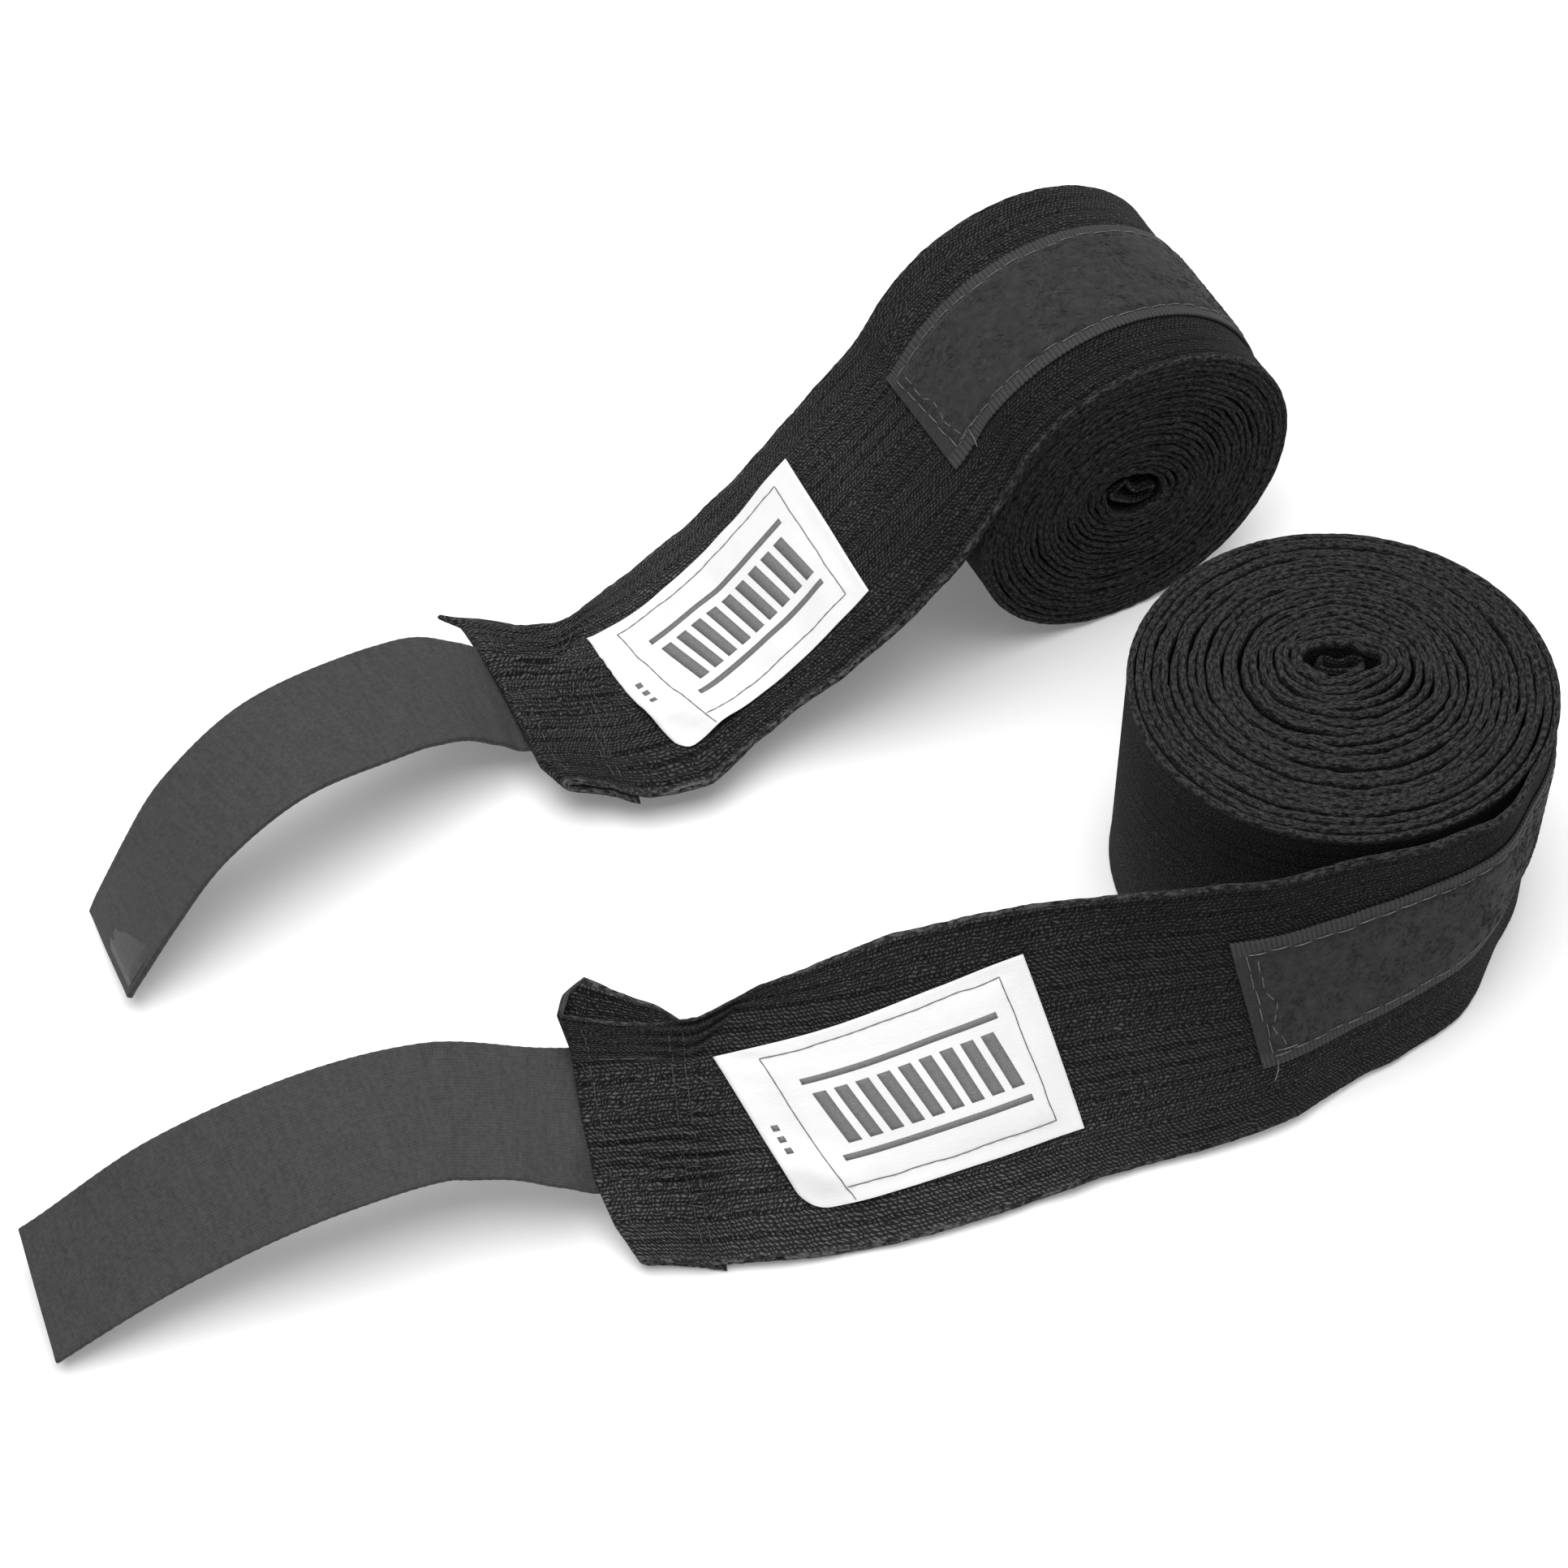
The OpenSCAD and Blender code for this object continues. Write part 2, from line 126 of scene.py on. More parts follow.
def spline(stations, lead, per_span=40):
    """Catmull-Rom curve through stations, started with the heading lead."""
    p = [np.array(s, float) for s in stations]
    n = len(p)
    before = p[1] - 2 * np.linalg.norm((p[1] - p[0])[:3]) * lead
    points = []
    for i in range(n - 1):
        a = before if i == 0 else p[i - 1]
        for k in range(per_span):
            points.append(bend(a, p[i], p[i + 1], p[min(i + 2, n - 1)], k / per_span))
    points.append(p[-1])
    return points


class Path:
    """A middle line with a width direction at every point, by the distance u along it."""

    def __init__(self, points, zero):
        self.q = np.array(points)
        steps_between = np.linalg.norm(np.diff(self.q[:, :3], axis=0), axis=1)
        self.s = np.concatenate([[0], np.cumsum(steps_between)])
        self.s -= self.s[zero]

    def raw(self, u, columns):
        return np.stack([np.interp(u, self.s, self.q[:, c]) for c in columns], axis=-1)

    def frame(self, u):
        """Middle, forward, width and outward directions, each an array of vectors."""
        u = np.clip(u, self.s[0] + 0.7, self.s[-1] - 0.7)
        middle = self.raw(u, (0, 1, 2))
        ahead = self.raw(u + 0.6, (0, 1, 2)) - self.raw(u - 0.6, (0, 1, 2))
        t = unit(ahead)
        w = self.raw(u, (3, 4, 5))
        w = unit(w - t * np.sum(w * t, axis=-1, keepdims=True))
        return middle, t, w, np.cross(w, t)


def eased(path, low, high, reach):
    """The same path, with its line averaged over reach on both sides between low and high."""
    u = np.arange(math.ceil(path.s[0] * 2) / 2, path.s[-1], 0.5)
    rows = path.raw(u, range(6))
    mean = np.mean([path.raw(u + d, range(6)) for d in np.linspace(-reach, reach, 25)], axis=0)
    share = (ramp(low - reach, low, u) * (1 - ramp(high, high + reach, u)))[:, None]
    return Path(rows * (1 - share) + mean * share, int(np.argmin(np.abs(u))))


class Wrap:
    """One hand wrap: its roll, the tape's path out of the roll, and the strap's path."""


def wound(w, phi):
    """The wound tape's middle line at the turning angle phi, in the roll's plane."""
    k = np.clip(np.floor(phi / 180), 0, w.half_turns - 1)
    radius = w.core_r + k * w.pitch / 2 + TAPE_T / 2
    x = (k % 2) * w.pitch / 2 + radius * np.cos(np.radians(phi))
    y = w.hand * radius * np.sin(np.radians(phi))
    c, s = math.cos(math.radians(w.exit)), math.sin(math.radians(w.exit))
    return c * x - s * y, s * x + c * y


def crush(w, p, q, phi):
    """The roll's core is squeezed to an uneven oval, and its turns wander. The last turns don't wander."""
    left = w.half_turns * 180 - phi
    loose = ramp(360, 900, left)
    r = np.hypot(p, q)
    near = np.exp(-(r / w.crush_r) ** 2) * loose
    c, s = math.cos(w.crush_turn), math.sin(w.crush_turn)
    x, y = c * p + s * q, c * q - s * p
    x = x * (1 + w.stretch * near)
    y = y * (1 - w.flatten * near)
    lump = w.lump * near + 0.12 * loose
    x = x + lump * noise(p / 5.5, q / 5.5, 3.1, seed=w.seed)
    y = y + lump * noise(p / 5.5, q / 5.5, 8.7, seed=w.seed)
    p, q = c * x - s * y, s * x + c * y
    turn = phi / 360
    a = np.radians(phi)
    c, s = np.cos(a), np.sin(a)
    wander = w.wander * noise(turn * 0.35, 1.2 * c + 9, 1.2 * s + 9, seed=w.seed)
    wander = wander + 0.05 * noise(turn * 2.3, 4 * c + 9, 4 * s + 9, seed=w.seed + 1)
    wander = wander + 0.12 * noise(turn * 1.3, 9 * c + 9, 9 * s + 9, seed=w.seed + 12)
    # The turns lie closer where the core is off the middle, and wider on the other side
    r = np.hypot(p, q) + 1e-6
    slack = slackness(w, p / r, q / r)
    # They cling together in pairs here and there, and leave wider gaps beside the pairs
    drift = 2.2 * noise(turn * 0.5, 1.5 * c + 4, 1.5 * s + 4, seed=w.seed + 2)
    wander = loose * (wander * slack + w.pair * slack ** 2 * np.sin(np.pi * turn + drift))
    p, q = p * (1 + wander / r), q * (1 + wander / r)
    share = loose * np.clip(1 - r / w.outer_r, 0, 1)
    return w.oval[0] * p + w.offset[0] * share, w.oval[1] * q + w.offset[1] * share


def slackness(w, x, y):
    """How far apart the turns lie in the direction (x, y), 1 on average."""
    return 1 - (x * w.offset[0] + y * w.offset[1]) / w.outer_r


def lay_out(w):
    """Fill in the wrap's two paths."""
    total = w.half_turns * 180
    phi = np.concatenate([np.arange(0, 1440, 3.0), np.arange(1440, total - 0.1, 1.5), [total]])
    p, q = crush(w, *wound(w, phi), phi)
    wound_points = w.origin + p[:, None] * w.e1 + q[:, None] * w.e2
    wide = np.repeat(w.wide[None], len(phi), axis=0)
    coil = [np.array([*a, *b]) for a, b in zip(wound_points, wide)]
    e, f = coil[-1], coil[-3]
    lead = (e - f) / np.linalg.norm((e - f)[:3])
    free = spline([e] + w.free, lead)
    w.tape = Path(coil[:-1] + free, len(coil) - 1 + 40 * (w.fold_station + 1))
    w.phi_u = (phi, w.tape.s[: len(phi)])
    w.leave_u = w.tape.s[len(phi) - 1]
    hinge_u = w.tail_l + AXIS_GAP
    m, _, wide_dir, n = (a[0] for a in w.tape.frame(np.array([hinge_u])))
    m = m + ROOT_Z * n
    heading = w.tape.raw(np.array([hinge_u, hinge_u - 2]), (0, 1, 2))
    heading = heading[0] - heading[1]
    lead = np.array([*(heading / np.linalg.norm(heading)), 0, 0, 0])
    # The root lies under the hem on the tape's own path, and the strap goes on from it
    root_u = np.arange(w.tail_l - 14, hinge_u - 0.5, 1.0)
    middle, _, across, out = w.tape.frame(root_u)
    root = [np.array([*(a + ROOT_Z * b), *c]) for a, b, c in zip(middle, out, across)]
    onward = spline([np.array([*m, *wide_dir])] + w.strap_free, lead)
    w.strap = Path(root + onward, len(root))
    for reach in (7.0, 5.0, 3.0):
        w.strap = eased(w.strap, 0.0, 18.0, reach)
    w.strap_hinge = m


front = Wrap()
front.name = "front"
front.seed = 3
front.core_r, front.pitch, front.half_turns = 5.5, 1.44, 42
front.exit, front.hand = -30.0, -1
front.origin = np.array([0.0, 0.0, 25.0])
front.e1, front.e2 = np.array([1.0, 0, 0]), np.array([0, 1.0, 0])
front.wide = np.array([0, 0, 1.0])
front.crush_r, front.crush_turn = 12.0, 0.0
front.stretch, front.flatten, front.lump, front.wander, front.pair = 0.0, 0.5, 1.6, 0.5, 0.13
front.oval, front.offset = (1.03, 0.96), (0.5, 5.6)
front.outer_r = front.core_r + front.half_turns * front.pitch / 2
front.fold_station = 2
front.tail_l, front.label_u, front.strap_l = 112.0, 32.0, 97.0
front.free = [
    [22, -32.7, 25, 0, 0.1, 1], [-4, -45.5, 24.6, -0.12, 0.27, 0.96],
    [-18, -50, 23.5, -0.2, 0.4, 0.9], [-46, -53, 19, -0.22, 0.66, 0.72],
    [-65, -57, 16.4, -0.21, 0.77, 0.6], [-85, -62, 15.8, -0.22, 0.79, 0.57],
    [-106, -65, 16, -0.25, 0.8, 0.55], [-140, -68.5, 15.8, -0.3, 0.8, 0.52],
]
front.strap_free = [
    [-150, -68, 20.5, -0.22, 0.93, 0.22], [-172, -76.5, 23, -0.2, 0.91, 0.32],
    [-196, -85.5, 17, -0.2, 0.9, 0.38], [-217, -94, 5.5, -0.2, 0.93, 0.3],
    [-229, -99, 0, -0.2, 0.94, 0.27],
]

rear = Wrap()
rear.name = "rear"
rear.seed = 8
rear.core_r, rear.pitch, rear.half_turns = 6.4, 1.13, 46
rear.exit, rear.hand = 138.0, 1
rear_turn = math.radians(-62.5)
rear_along = np.array([math.cos(rear_turn), math.sin(rear_turn), 0])
rear.e1 = np.array([-math.sin(rear_turn), math.cos(rear_turn), 0])
rear.e2 = np.array([0, 0, 1.0])
rear.origin = np.array([-42.0, 81.0, rear.core_r + (rear.half_turns - 2) * rear.pitch / 2 + TAPE_T])
rear.wide = -rear_along
rear.crush_r, rear.crush_turn = 12.0, -0.5
rear.stretch, rear.flatten, rear.lump, rear.wander, rear.pair = 0.12, 0.4, 1.0, 0.35, 0.06
rear.oval, rear.offset = (1.0, 1.0), (0.0, 0.0)
rear.outer_r = rear.core_r + rear.half_turns * rear.pitch / 2
rear.fold_station = 0
rear.tail_l, rear.label_u, rear.strap_l = 100.0, 24.0, 97.0
rear.free = [
    [-69.5, 65.3, 46, -0.47, 0.88, 0], [-78, 60.5, 37, -0.47, 0.88, 0.03],
    [-87.5, 55, 28, -0.46, 0.88, 0.06], [-106, 44.5, 13.5, -0.46, 0.88, 0.04],
    [-124.5, 35.5, 7, -0.44, 0.89, 0], [-147, 30.5, 10, -0.42, 0.9, 0],
    [-160, 27, 13, -0.42, 0.9, 0],
]
rear.strap_free = [
    [-159, 23.8, 19, -0.43, 0.9, 0.02], [-172, 14.2, 24, -0.48, 0.87, 0.03],
    [-186, 3, 26.6, -0.52, 0.84, -0.05], [-198.4, -7.7, 22.2, -0.5, 0.85, -0.12],
    [-207.2, -16.3, 14, -0.42, 0.9, -0.12], [-214, -22, 5, -0.36, 0.92, -0.12],
    [-217, -24.5, -1, -0.34, 0.93, -0.12],
]
wraps = (front, rear)
for wrap in wraps:
    wrap.free = [np.array(s, float) for s in wrap.free]
    wrap.strap_free = [np.array(s, float) for s in wrap.strap_free]
    lay_out(wrap)

# Outline of the free tape: where its upper and lower edges really run, as (u, v) pairs.
# The hem gathers the tape, so the upper edge dips beside it and rises again at its corner.
front.top = ((-60, 25), (0, 24.6), (22, 24.1), (40, 24.8), (55, 25), (67, 23.3), (81, 20.3),
             (92, 15.8), (98, 15.4), (104, 16), (112, 18))
front.turned_top = ((92, 13), (98, 18.4), (103, 20.7), (108, 22.8), (112, 24.2))
front.low = ((-60, 25), (0, 24.6), (30, 24.6), (58, 26), (76, 26.5), (96, 26), (112, 24.6))
front.turned_low = ((88, 27.8), (96, 26.6), (112, 25))
front.hem_end = ((-26, -8.5), (-18, -3.8), (-10, -1), (0, 0.2), (12, 1.2), (18, 3), (21.5, 1.6), (24, -1))
front.held = ((0, 16.5), (86, 16.5), (94, 8), (112, 10))
front.notch_u = 92.0

rear.top = ((-20, 25), (0, 24.6), (13, 23.7), (31, 22.6), (57, 22.5), (70, 22), (79, 20.3),
            (86, 17.2), (92, 17), (98, 18.8), (105, 22.6))
rear.turned_top = ((80, 17), (92, 18), (98, 20.6), (105, 24))
rear.low = ((-20, 25), (0, 26), (12, 27.4), (30, 27.2), (54, 24.6), (62, 25.4), (70, 28.6),
            (78, 27.4), (90, 24.6), (100, 23.4))
rear.turned_low = ((78, 28), (90, 25.4), (100, 23.8))
rear.hem_end = ((-27, -15), (-23, -10.5), (-18, -7), (-12, -5.6), (2, -2.6), (12, -0.2), (18, 1.4),
                (22, 5.8), (25, 9))
rear.held = ((0, 16.5), (78, 16.5), (87, 8), (100, 10))
rear.notch_u = 86.0

# How far the two layers part at the hem's upper corner, the ribs' depth and where the hem puckers
front.ear_lift, front.ear_dip, front.rib, front.pucker_v = -0.5, -1.5, 0.03, -8.0
rear.ear_lift, rear.ear_dip, rear.rib, rear.pucker_v = 0.6, 0.3, 0.16, 2.0
# The wound tape: uneven edges, a raised middle, how full its turns are, and the sign of the cloth's
# across, which picks the edge that the painted light makes paler
front.uneven, front.dome, front.fill, front.pale = 0.5, 0.5, 1.22, 1
rear.uneven, rear.dome, rear.fill, rear.pale = 0.5, 0.0, 1.04, -1
# The thumb loop and its bartack
front.loop_size, front.loop_dent, front.loop_fill = (3.7, 1.9), -1.2, 0.6
rear.loop_size, rear.loop_dent, rear.loop_fill = (4.9, 3.0), -2.2, 0.65
front.tack_turn, rear.tack_turn = 0.0, -28.6
front.tack_reach = rear.tack_reach = 6.6
# The patch: its end's shift and slant, how high it sits and how far it rises towards the roll
front.patch = (0.0, 0.09, 0.8, 2.6)
rear.patch = (3.5, -0.04, -0.6, 0.0)
# How far each label's corners are drawn along and across the tape: roll end upper and lower,
# then hem end upper and lower. Its rounded corner's radius follows
front.label_pull = ((1.7, 0), (-1.9, 1.4), (6.4, -7.7), (-6.8, -1.8))
rear.label_pull = ((1.3, 0.2), (4.4, -0.3), (4, -4.4), (-4.4, -2.2))
front.label_round, rear.label_round = 4.0, 2.4
# The strap beside the hem: its turn in radians and its rise, then the shift and slant of its cut end
front.strap_turn, front.strap_rise, front.strap_cut = -0.28, 1.2, (1.6, -0.15)
rear.strap_turn, rear.strap_rise, rear.strap_cut = 0.0, 1.6, (-2.4, 0.04)


# ---- The tape's surface ----

def bias(w, v, pairs_top, pairs_low, u):
    """Across position after the edges are drawn in or out, with the middle band left alone."""
    top, low = steps(u, *pairs_top), steps(u, *pairs_low)
    held = steps(u, *w.held)
    half = TAPE_W / 2
    upper = held + (v - held) * (top - held) / (half - held)
    lower = -held + (v + held) * (low - held) / (half - held)
    return np.where(v > held, upper, np.where(v < -held, lower, v))


def relief(w, u, v, m):
    """How far the cloth stands proud of its smooth path. m is 0 on top and 1 on the turned layer."""
    free = ramp(w.leave_u - 5, w.leave_u + 25, u)
    lift = free * (0.28 * noise(u / 10, v / 9, seed=w.seed) + 0.1 * noise(u / 4, v / 5, seed=w.seed + 5))
    rim = ramp(17, 25, np.abs(v))
    lift = lift + free * rim * 0.35 * noise(u / 7, np.sign(v) * 3, seed=w.seed + 2)
    # Soft ribs along the tape, where the herringbone's slant turns
    strength = ramp(-0.3, 0.6, noise(u / 35, v / 13, seed=w.seed + 8))
    lift = lift - w.rib * (0.25 + strength) * hump(0, 0.3, np.abs((v / BAND) % 1 - 0.5) - 0.5)
    hem = ramp(w.tail_l - 26, w.tail_l - 18, u) * (1 - ramp(w.tail_l - 2, w.tail_l + 1, u))
    # Ridges where the hem's stitches gather the cloth, longest beside the label's lower half
    gathered = hump(w.pucker_v, 17, v) * ramp(-0.9, 0.2, noise(u / 16, v / 7, seed=w.seed + 7))
    wave = np.sin(2 * np.pi * (v / 2.1 + 0.5 * noise(u / 9, v / 8, seed=w.seed + 6)))
    lift = lift + (1 - m) * hem * (0.12 + gathered) * 0.6 * wave
    lift = lift + (1 - m) * hem * 0.16 * noise(u / 1.6, v / 1.6, seed=w.seed + 11)
    # Pleats that run out from the notch in the upper edge
    pleat = hump(w.notch_u, 16, u) * ramp(2, 14, v) * (1 - m)
    lift = lift - pleat * (0.9 + 0.5 * np.sin(2 * np.pi * (v - 0.25 * (u - w.notch_u)) / 4.2))
    # The upper corner of the hem opens, and the turned layer shows behind the top one
    ear = ramp(w.notch_u, w.tail_l - 3, u) * ramp(13, 24, v)
    lift = lift + ear * np.where(m > 0.5, w.ear_lift, -w.ear_dip)
    return lift


def on_tape(w, u, v, h, m=0.0, lean=0.0, depth=0.0):
    """Points on the tape. h is the height above its middle, m says which layer of the hem,
    lean turns the layer over at the hem's round end, and depth is the middle's own offset."""
    u, v, h, m, lean, depth = np.broadcast_arrays(u, v, h, m, lean, depth)
    across = bias(w, v, w.top, w.low, u) * (1 - m) + m * bias(w, v, w.turned_top, w.turned_low, u)
    shift = steps(across, *w.hem_end) * ramp(w.tail_l - 24, w.tail_l, u)
    mid, t, wide, n = w.tape.frame(u + shift)
    lift = relief(w, u, v, m) * np.cos(lean / 2)
    normal = np.cos(lean)[..., None] * n + np.sin(lean)[..., None] * t
    return mid + across[..., None] * wide + (depth + lift)[..., None] * n + h[..., None] * normal


# ---- Mesh helpers ----

def add_object(name, data):
    item = bpy.data.objects.new(name, data)
    bpy.context.scene.collection.objects.link(item)
    return item


def build(name, points, faces, material, cloth=None):
    """A smooth mesh object from points in millimetres. cloth gives each point its place on the cloth."""
    mesh = bpy.data.meshes.new(name)
    mesh.from_pydata((np.asarray(points).reshape(-1, 3) * MM).tolist(), [], faces)
    mesh.polygons.foreach_set("use_smooth", np.ones(len(mesh.polygons), bool))
    if cloth is not None:
        attribute = mesh.attributes.new("cloth", "FLOAT_VECTOR", "POINT")
        attribute.data.foreach_set("vector", np.asarray(cloth, np.float32).ravel())
    mesh.materials.append(material)
    mesh.update()
    return add_object(name, mesh)


def tube_faces(n, m, closed_ends=True, start=0):
    """Quads for n rings of m points each, with flat ends."""
    faces = []
    for i in range(n - 1):
        a, b = start + i * m, start + (i + 1) * m
        for j in range(m):
            k = (j + 1) % m
            faces.append((a + j, a + k, b + k, b + j))
    if closed_ends:
        faces.append(tuple(start + j for j in reversed(range(m))))
        faces.append(tuple(start + (n - 1) * m + j for j in range(m)))
    return faces


def slab_faces(nu, nv, start=0):
    """Faces of a thin slab: a grid of nu by nv points, the same grid again below it, and the rim."""
    size = nu * nv
    faces = []
    for i in range(nu - 1):
        for j in range(nv - 1):
            a = start + i * nv + j
            b = a + size
            faces += [(a, a + nv, a + nv + 1, a + 1), (b, b + 1, b + nv + 1, b + nv)]
    rim = [i * nv for i in range(nu)] + [(nu - 1) * nv + j for j in range(1, nv)]
    rim += [i * nv + nv - 1 for i in reversed(range(nu - 1))] + list(reversed(range(1, nv - 1)))
    rim = [start + k for k in rim]
    return faces + [(b, a, a + size, b + size) for a, b in zip(rim, rim[1:] + rim[:1])]


def stand_in(w, piece, body, slot, *nodes):
    """The piece rides on the wrap's body and stands for its CAD nodes, which are hidden. The slot is not
    used.
    A piece given no body is left where it is."""
    if body:
        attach(piece, f"{w.name}_{body}")
    if nodes:
        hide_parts(*(f"{w.name}_{node}" for node in nodes))


def section(half, spacing, rounding, thick, under=None):
    """Closed outline of a cloth strip's cut: pairs of across and height, with round edges."""
    inner = half - rounding

    def flat(step, height):
        across = np.linspace(-inner, inner, max(2, int(round(2 * inner / step)) + 1))
        return [(v, height) for v in across]

    turn = np.radians([60, 30, 0, -30, -60])
    right = [(inner + rounding * math.cos(a), thick / 2 * math.sin(a)) for a in turn]
    left = [(-x, -y) for x, y in right]
    return np.array(flat(spacing, thick / 2) + right + flat(under or spacing, -thick / 2)[::-1] + left)


def spread(u, loop):
    """Along, across and height of every point of the outline at every place along."""
    across = np.repeat(loop[None, :, 0], len(u), axis=0)
    height = np.repeat(loop[None, :, 1], len(u), axis=0)
    return np.repeat(u[:, None], len(loop), axis=1), across, height


def threads(name, runs, radius, material, sides=5):
    """Round threads along runs of points, in one mesh."""
    points, faces = [], []
    for run in runs:
        run = np.asarray(run, float)
        ahead = unit(np.gradient(run, axis=0), TINY)
        side = unit(np.cross(ahead, [0.13, 0.29, 0.95]), TINY)
        up = np.cross(side, ahead)
        start = len(points)
        for p, a, b, k in zip(run, side, up, range(len(run))):
            thin = 0.55 if k in (0, len(run) - 1) else 1.0
            for j in range(sides):
                t = 2 * math.pi * j / sides
                points.append(p + radius * thin * (math.cos(t) * a + math.sin(t) * b))
        faces += tube_faces(len(run), sides, start=start)
    return build(name, np.array(points), faces, material)


# ---- Materials ----

class Finish:
    """A material whose nodes are made by short calls."""

    def __init__(self, name, roughness=0.8, specular=0.3, sheen=0.0, sheen_roughness=0.5):
        self.material = bpy.data.materials.new(name)
        self.material.use_nodes = True
        self.tree = self.material.node_tree
        self.shader = self.tree.nodes["Principled BSDF"]
        self.shader.inputs["Roughness"].default_value = roughness
        self.shader.inputs["Specular IOR Level"].default_value = specular
        self.shader.inputs["Sheen Weight"].default_value = sheen
        self.shader.inputs["Sheen Roughness"].default_value = sheen_roughness

    def node(self, kind):
        return self.tree.nodes.new("ShaderNode" + kind)

    def link(self, value, socket):
        if isinstance(value, bpy.types.NodeSocket):
            self.tree.links.new(value, socket)
        elif value is not None:
            socket.default_value = value

    def math(self, operation, a, b=None, c=None):
        node = self.node("Math")
        node.operation = operation
        for value, socket in zip((a, b, c), node.inputs):
            self.link(value, socket)
        return node.outputs[0]

    def product(self, a, b):
        return self.math("MULTIPLY", a, b)

    def scaled(self, a, factor, plus=0.0):
        """a times factor, plus an offset."""
        return self.math("MULTIPLY_ADD", a, factor, plus)

    def stretched(self, *pairs):
        """A vector of values, each times its own factor, for noise longer one way than another."""
        return self.vector(*(self.product(value, factor) for value, factor in pairs))

    def cloth(self):
        """The place on the cloth: as a vector, along, across and through it, in millimetres."""
        node = self.node("Attribute")
        node.attribute_name = "cloth"
        split = self.node("SeparateXYZ")
        self.link(node.outputs["Vector"], split.inputs[0])
        return (node.outputs["Vector"], *split.outputs)

    def mix(self, share, a, b):
        """a where share is 0, b where it is 1."""
        return self.scaled(share, self.math("SUBTRACT", b, a), a)

    def between(self, value, low, high):
        """0 below low, 1 above high, straight between."""
        node = self.node("MapRange")
        for place, number in ((0, value), (1, low), (2, high)):
            self.link(number, node.inputs[place])
        return node.outputs[0]

    def place(self):
        return self.node("TexCoord").outputs["Object"]

    def noise(self, vector, scale, detail=2.0, rough=0.5):
        node = self.node("TexNoise")
        self.link(vector, node.inputs["Vector"])
        node.inputs["Scale"].default_value = scale
        node.inputs["Detail"].default_value = detail
        node.inputs["Roughness"].default_value = rough
        return node.outputs["Fac"]

    def vector(self, x, y, z=0.0):
        node = self.node("CombineXYZ")
        for value, socket in zip((x, y, z), node.inputs):
            self.link(value, socket)
        return node.outputs[0]

    def wave(self, x, length):
        """A cosine from 0 to 1 with that wavelength."""
        turned = self.math("COSINE", self.product(x, 2 * math.pi / length))
        return self.scaled(turned, 0.5, 0.5)

    def ramp(self, factor, *stops):
        node = self.node("ValToRGB")
        marks = node.color_ramp.elements
        while len(marks) < len(stops):
            marks.new(0.5)
        for mark, (place, value) in zip(marks, stops):
            mark.position = place
            grey = (value, value, value) if isinstance(value, float) else value
            mark.color = (*grey, 1)
        self.link(factor, node.inputs[0])
        return node.outputs[0]

    def times(self, colour, factor):
        node = self.node("VectorMath")
        node.operation = "SCALE"
        self.link(colour, node.inputs[0])
        self.link(factor, node.inputs["Scale"])
        return node.outputs[0]

    def colour(self, value):
        self.link(value, self.shader.inputs["Base Color"])

    def bump(self, height, distance, strength=1.0):
        node = self.node("Bump")
        node.inputs["Strength"].default_value = strength
        node.inputs["Distance"].default_value = distance
        self.link(height, node.inputs["Height"])
        self.link(node.outputs[0], self.shader.inputs["Normal"])


def woven_finish():
    """Black cotton in herringbone: rows of short floats along the tape, whose slant turns at each band.
    Its selvedges and cut ends are fuzzy."""
    f = Finish("woven_tape", roughness=0.9, specular=0.06, sheen=0.03)
    place, u, v, h = f.cloth()
    slow = f.noise(f.stretched((u, 0.3), (v, 0.3)), 1.0)
    quick = f.noise(place, 0.9, 1.0)
    u_moved = f.scaled(slow, 2.4, f.scaled(quick, 1.6, u))
    v_moved = f.scaled(slow, 0.8, f.scaled(quick, 0.6, v))
    slant = f.math("PINGPONG", v_moved, FLIP)
    row = f.math("POWER", f.wave(v_moved, BAND / 5), 0.6)
    float_top = f.math("POWER", f.wave(f.scaled(slant, 0.75, u_moved), 0.85), 0.7)
    cell = f.noise(f.stretched((u, 1.1), (v, 1.4)), 1.0, 1.0)
    cell = f.between(cell, 0.25, 0.75)
    floats = f.product(f.product(row, float_top), f.scaled(cell, 1.1, 0.35))
    groove = f.between(f.math("PINGPONG", v_moved, BAND / 2), 0.0, 0.45)
    groove_depth = f.between(f.noise(f.stretched((u, 0.03), (v, 0.09)), 1.0), 0.4, 0.7)
    groove = f.product(f.math("SUBTRACT", groove, 1.0), f.scaled(groove_depth, 0.35, 0.1))
    fuzz = f.noise(place, 3.2, 3.0, 0.7)
    weave = f.math("ADD", f.scaled(fuzz, 0.5, floats), groove)
    flecks = f.noise(f.stretched((u, 0.9), (v, 1.6), (h, 2.6)), 1.0, 3.0, 0.65)
    flecks = f.scaled(f.math("SUBTRACT", flecks, 0.5), 3.4, 0.72)
    edge = f.between(f.math("ABSOLUTE", v), 23.6, 24.6)
    height = f.mix(edge, weave, flecks)
    blotch = f.noise(place, 0.08, 2.0)
    # The colour follows the height: on the weave, paler float tops and darker grooves are partly its own
    # pattern and partly painted highlight on the tops and painted shade in the grooves; on the selvedges
    # it follows random flecks
    tone = f.ramp(height, (0.18, 0.004), (0.6, 0.020), (1.0, 0.066))
    # Painted light: the colour is painted paler towards the free end and towards one edge of the tape,
    # where more light falls on it, and the selvedges are painted a fixed 1.2 times paler
    painted_light_factor = f.scaled(f.between(u, -5.0, 55.0), 0.85, 0.8)
    painted_light_factor = f.product(painted_light_factor, f.mix(edge, f.scaled(v, -0.014, 1.0), 1.2))
    f.colour(f.times(tone, f.product(painted_light_factor, f.scaled(blotch, 0.6, 0.7))))
    f.bump(height, 0.0004)
    return f.material


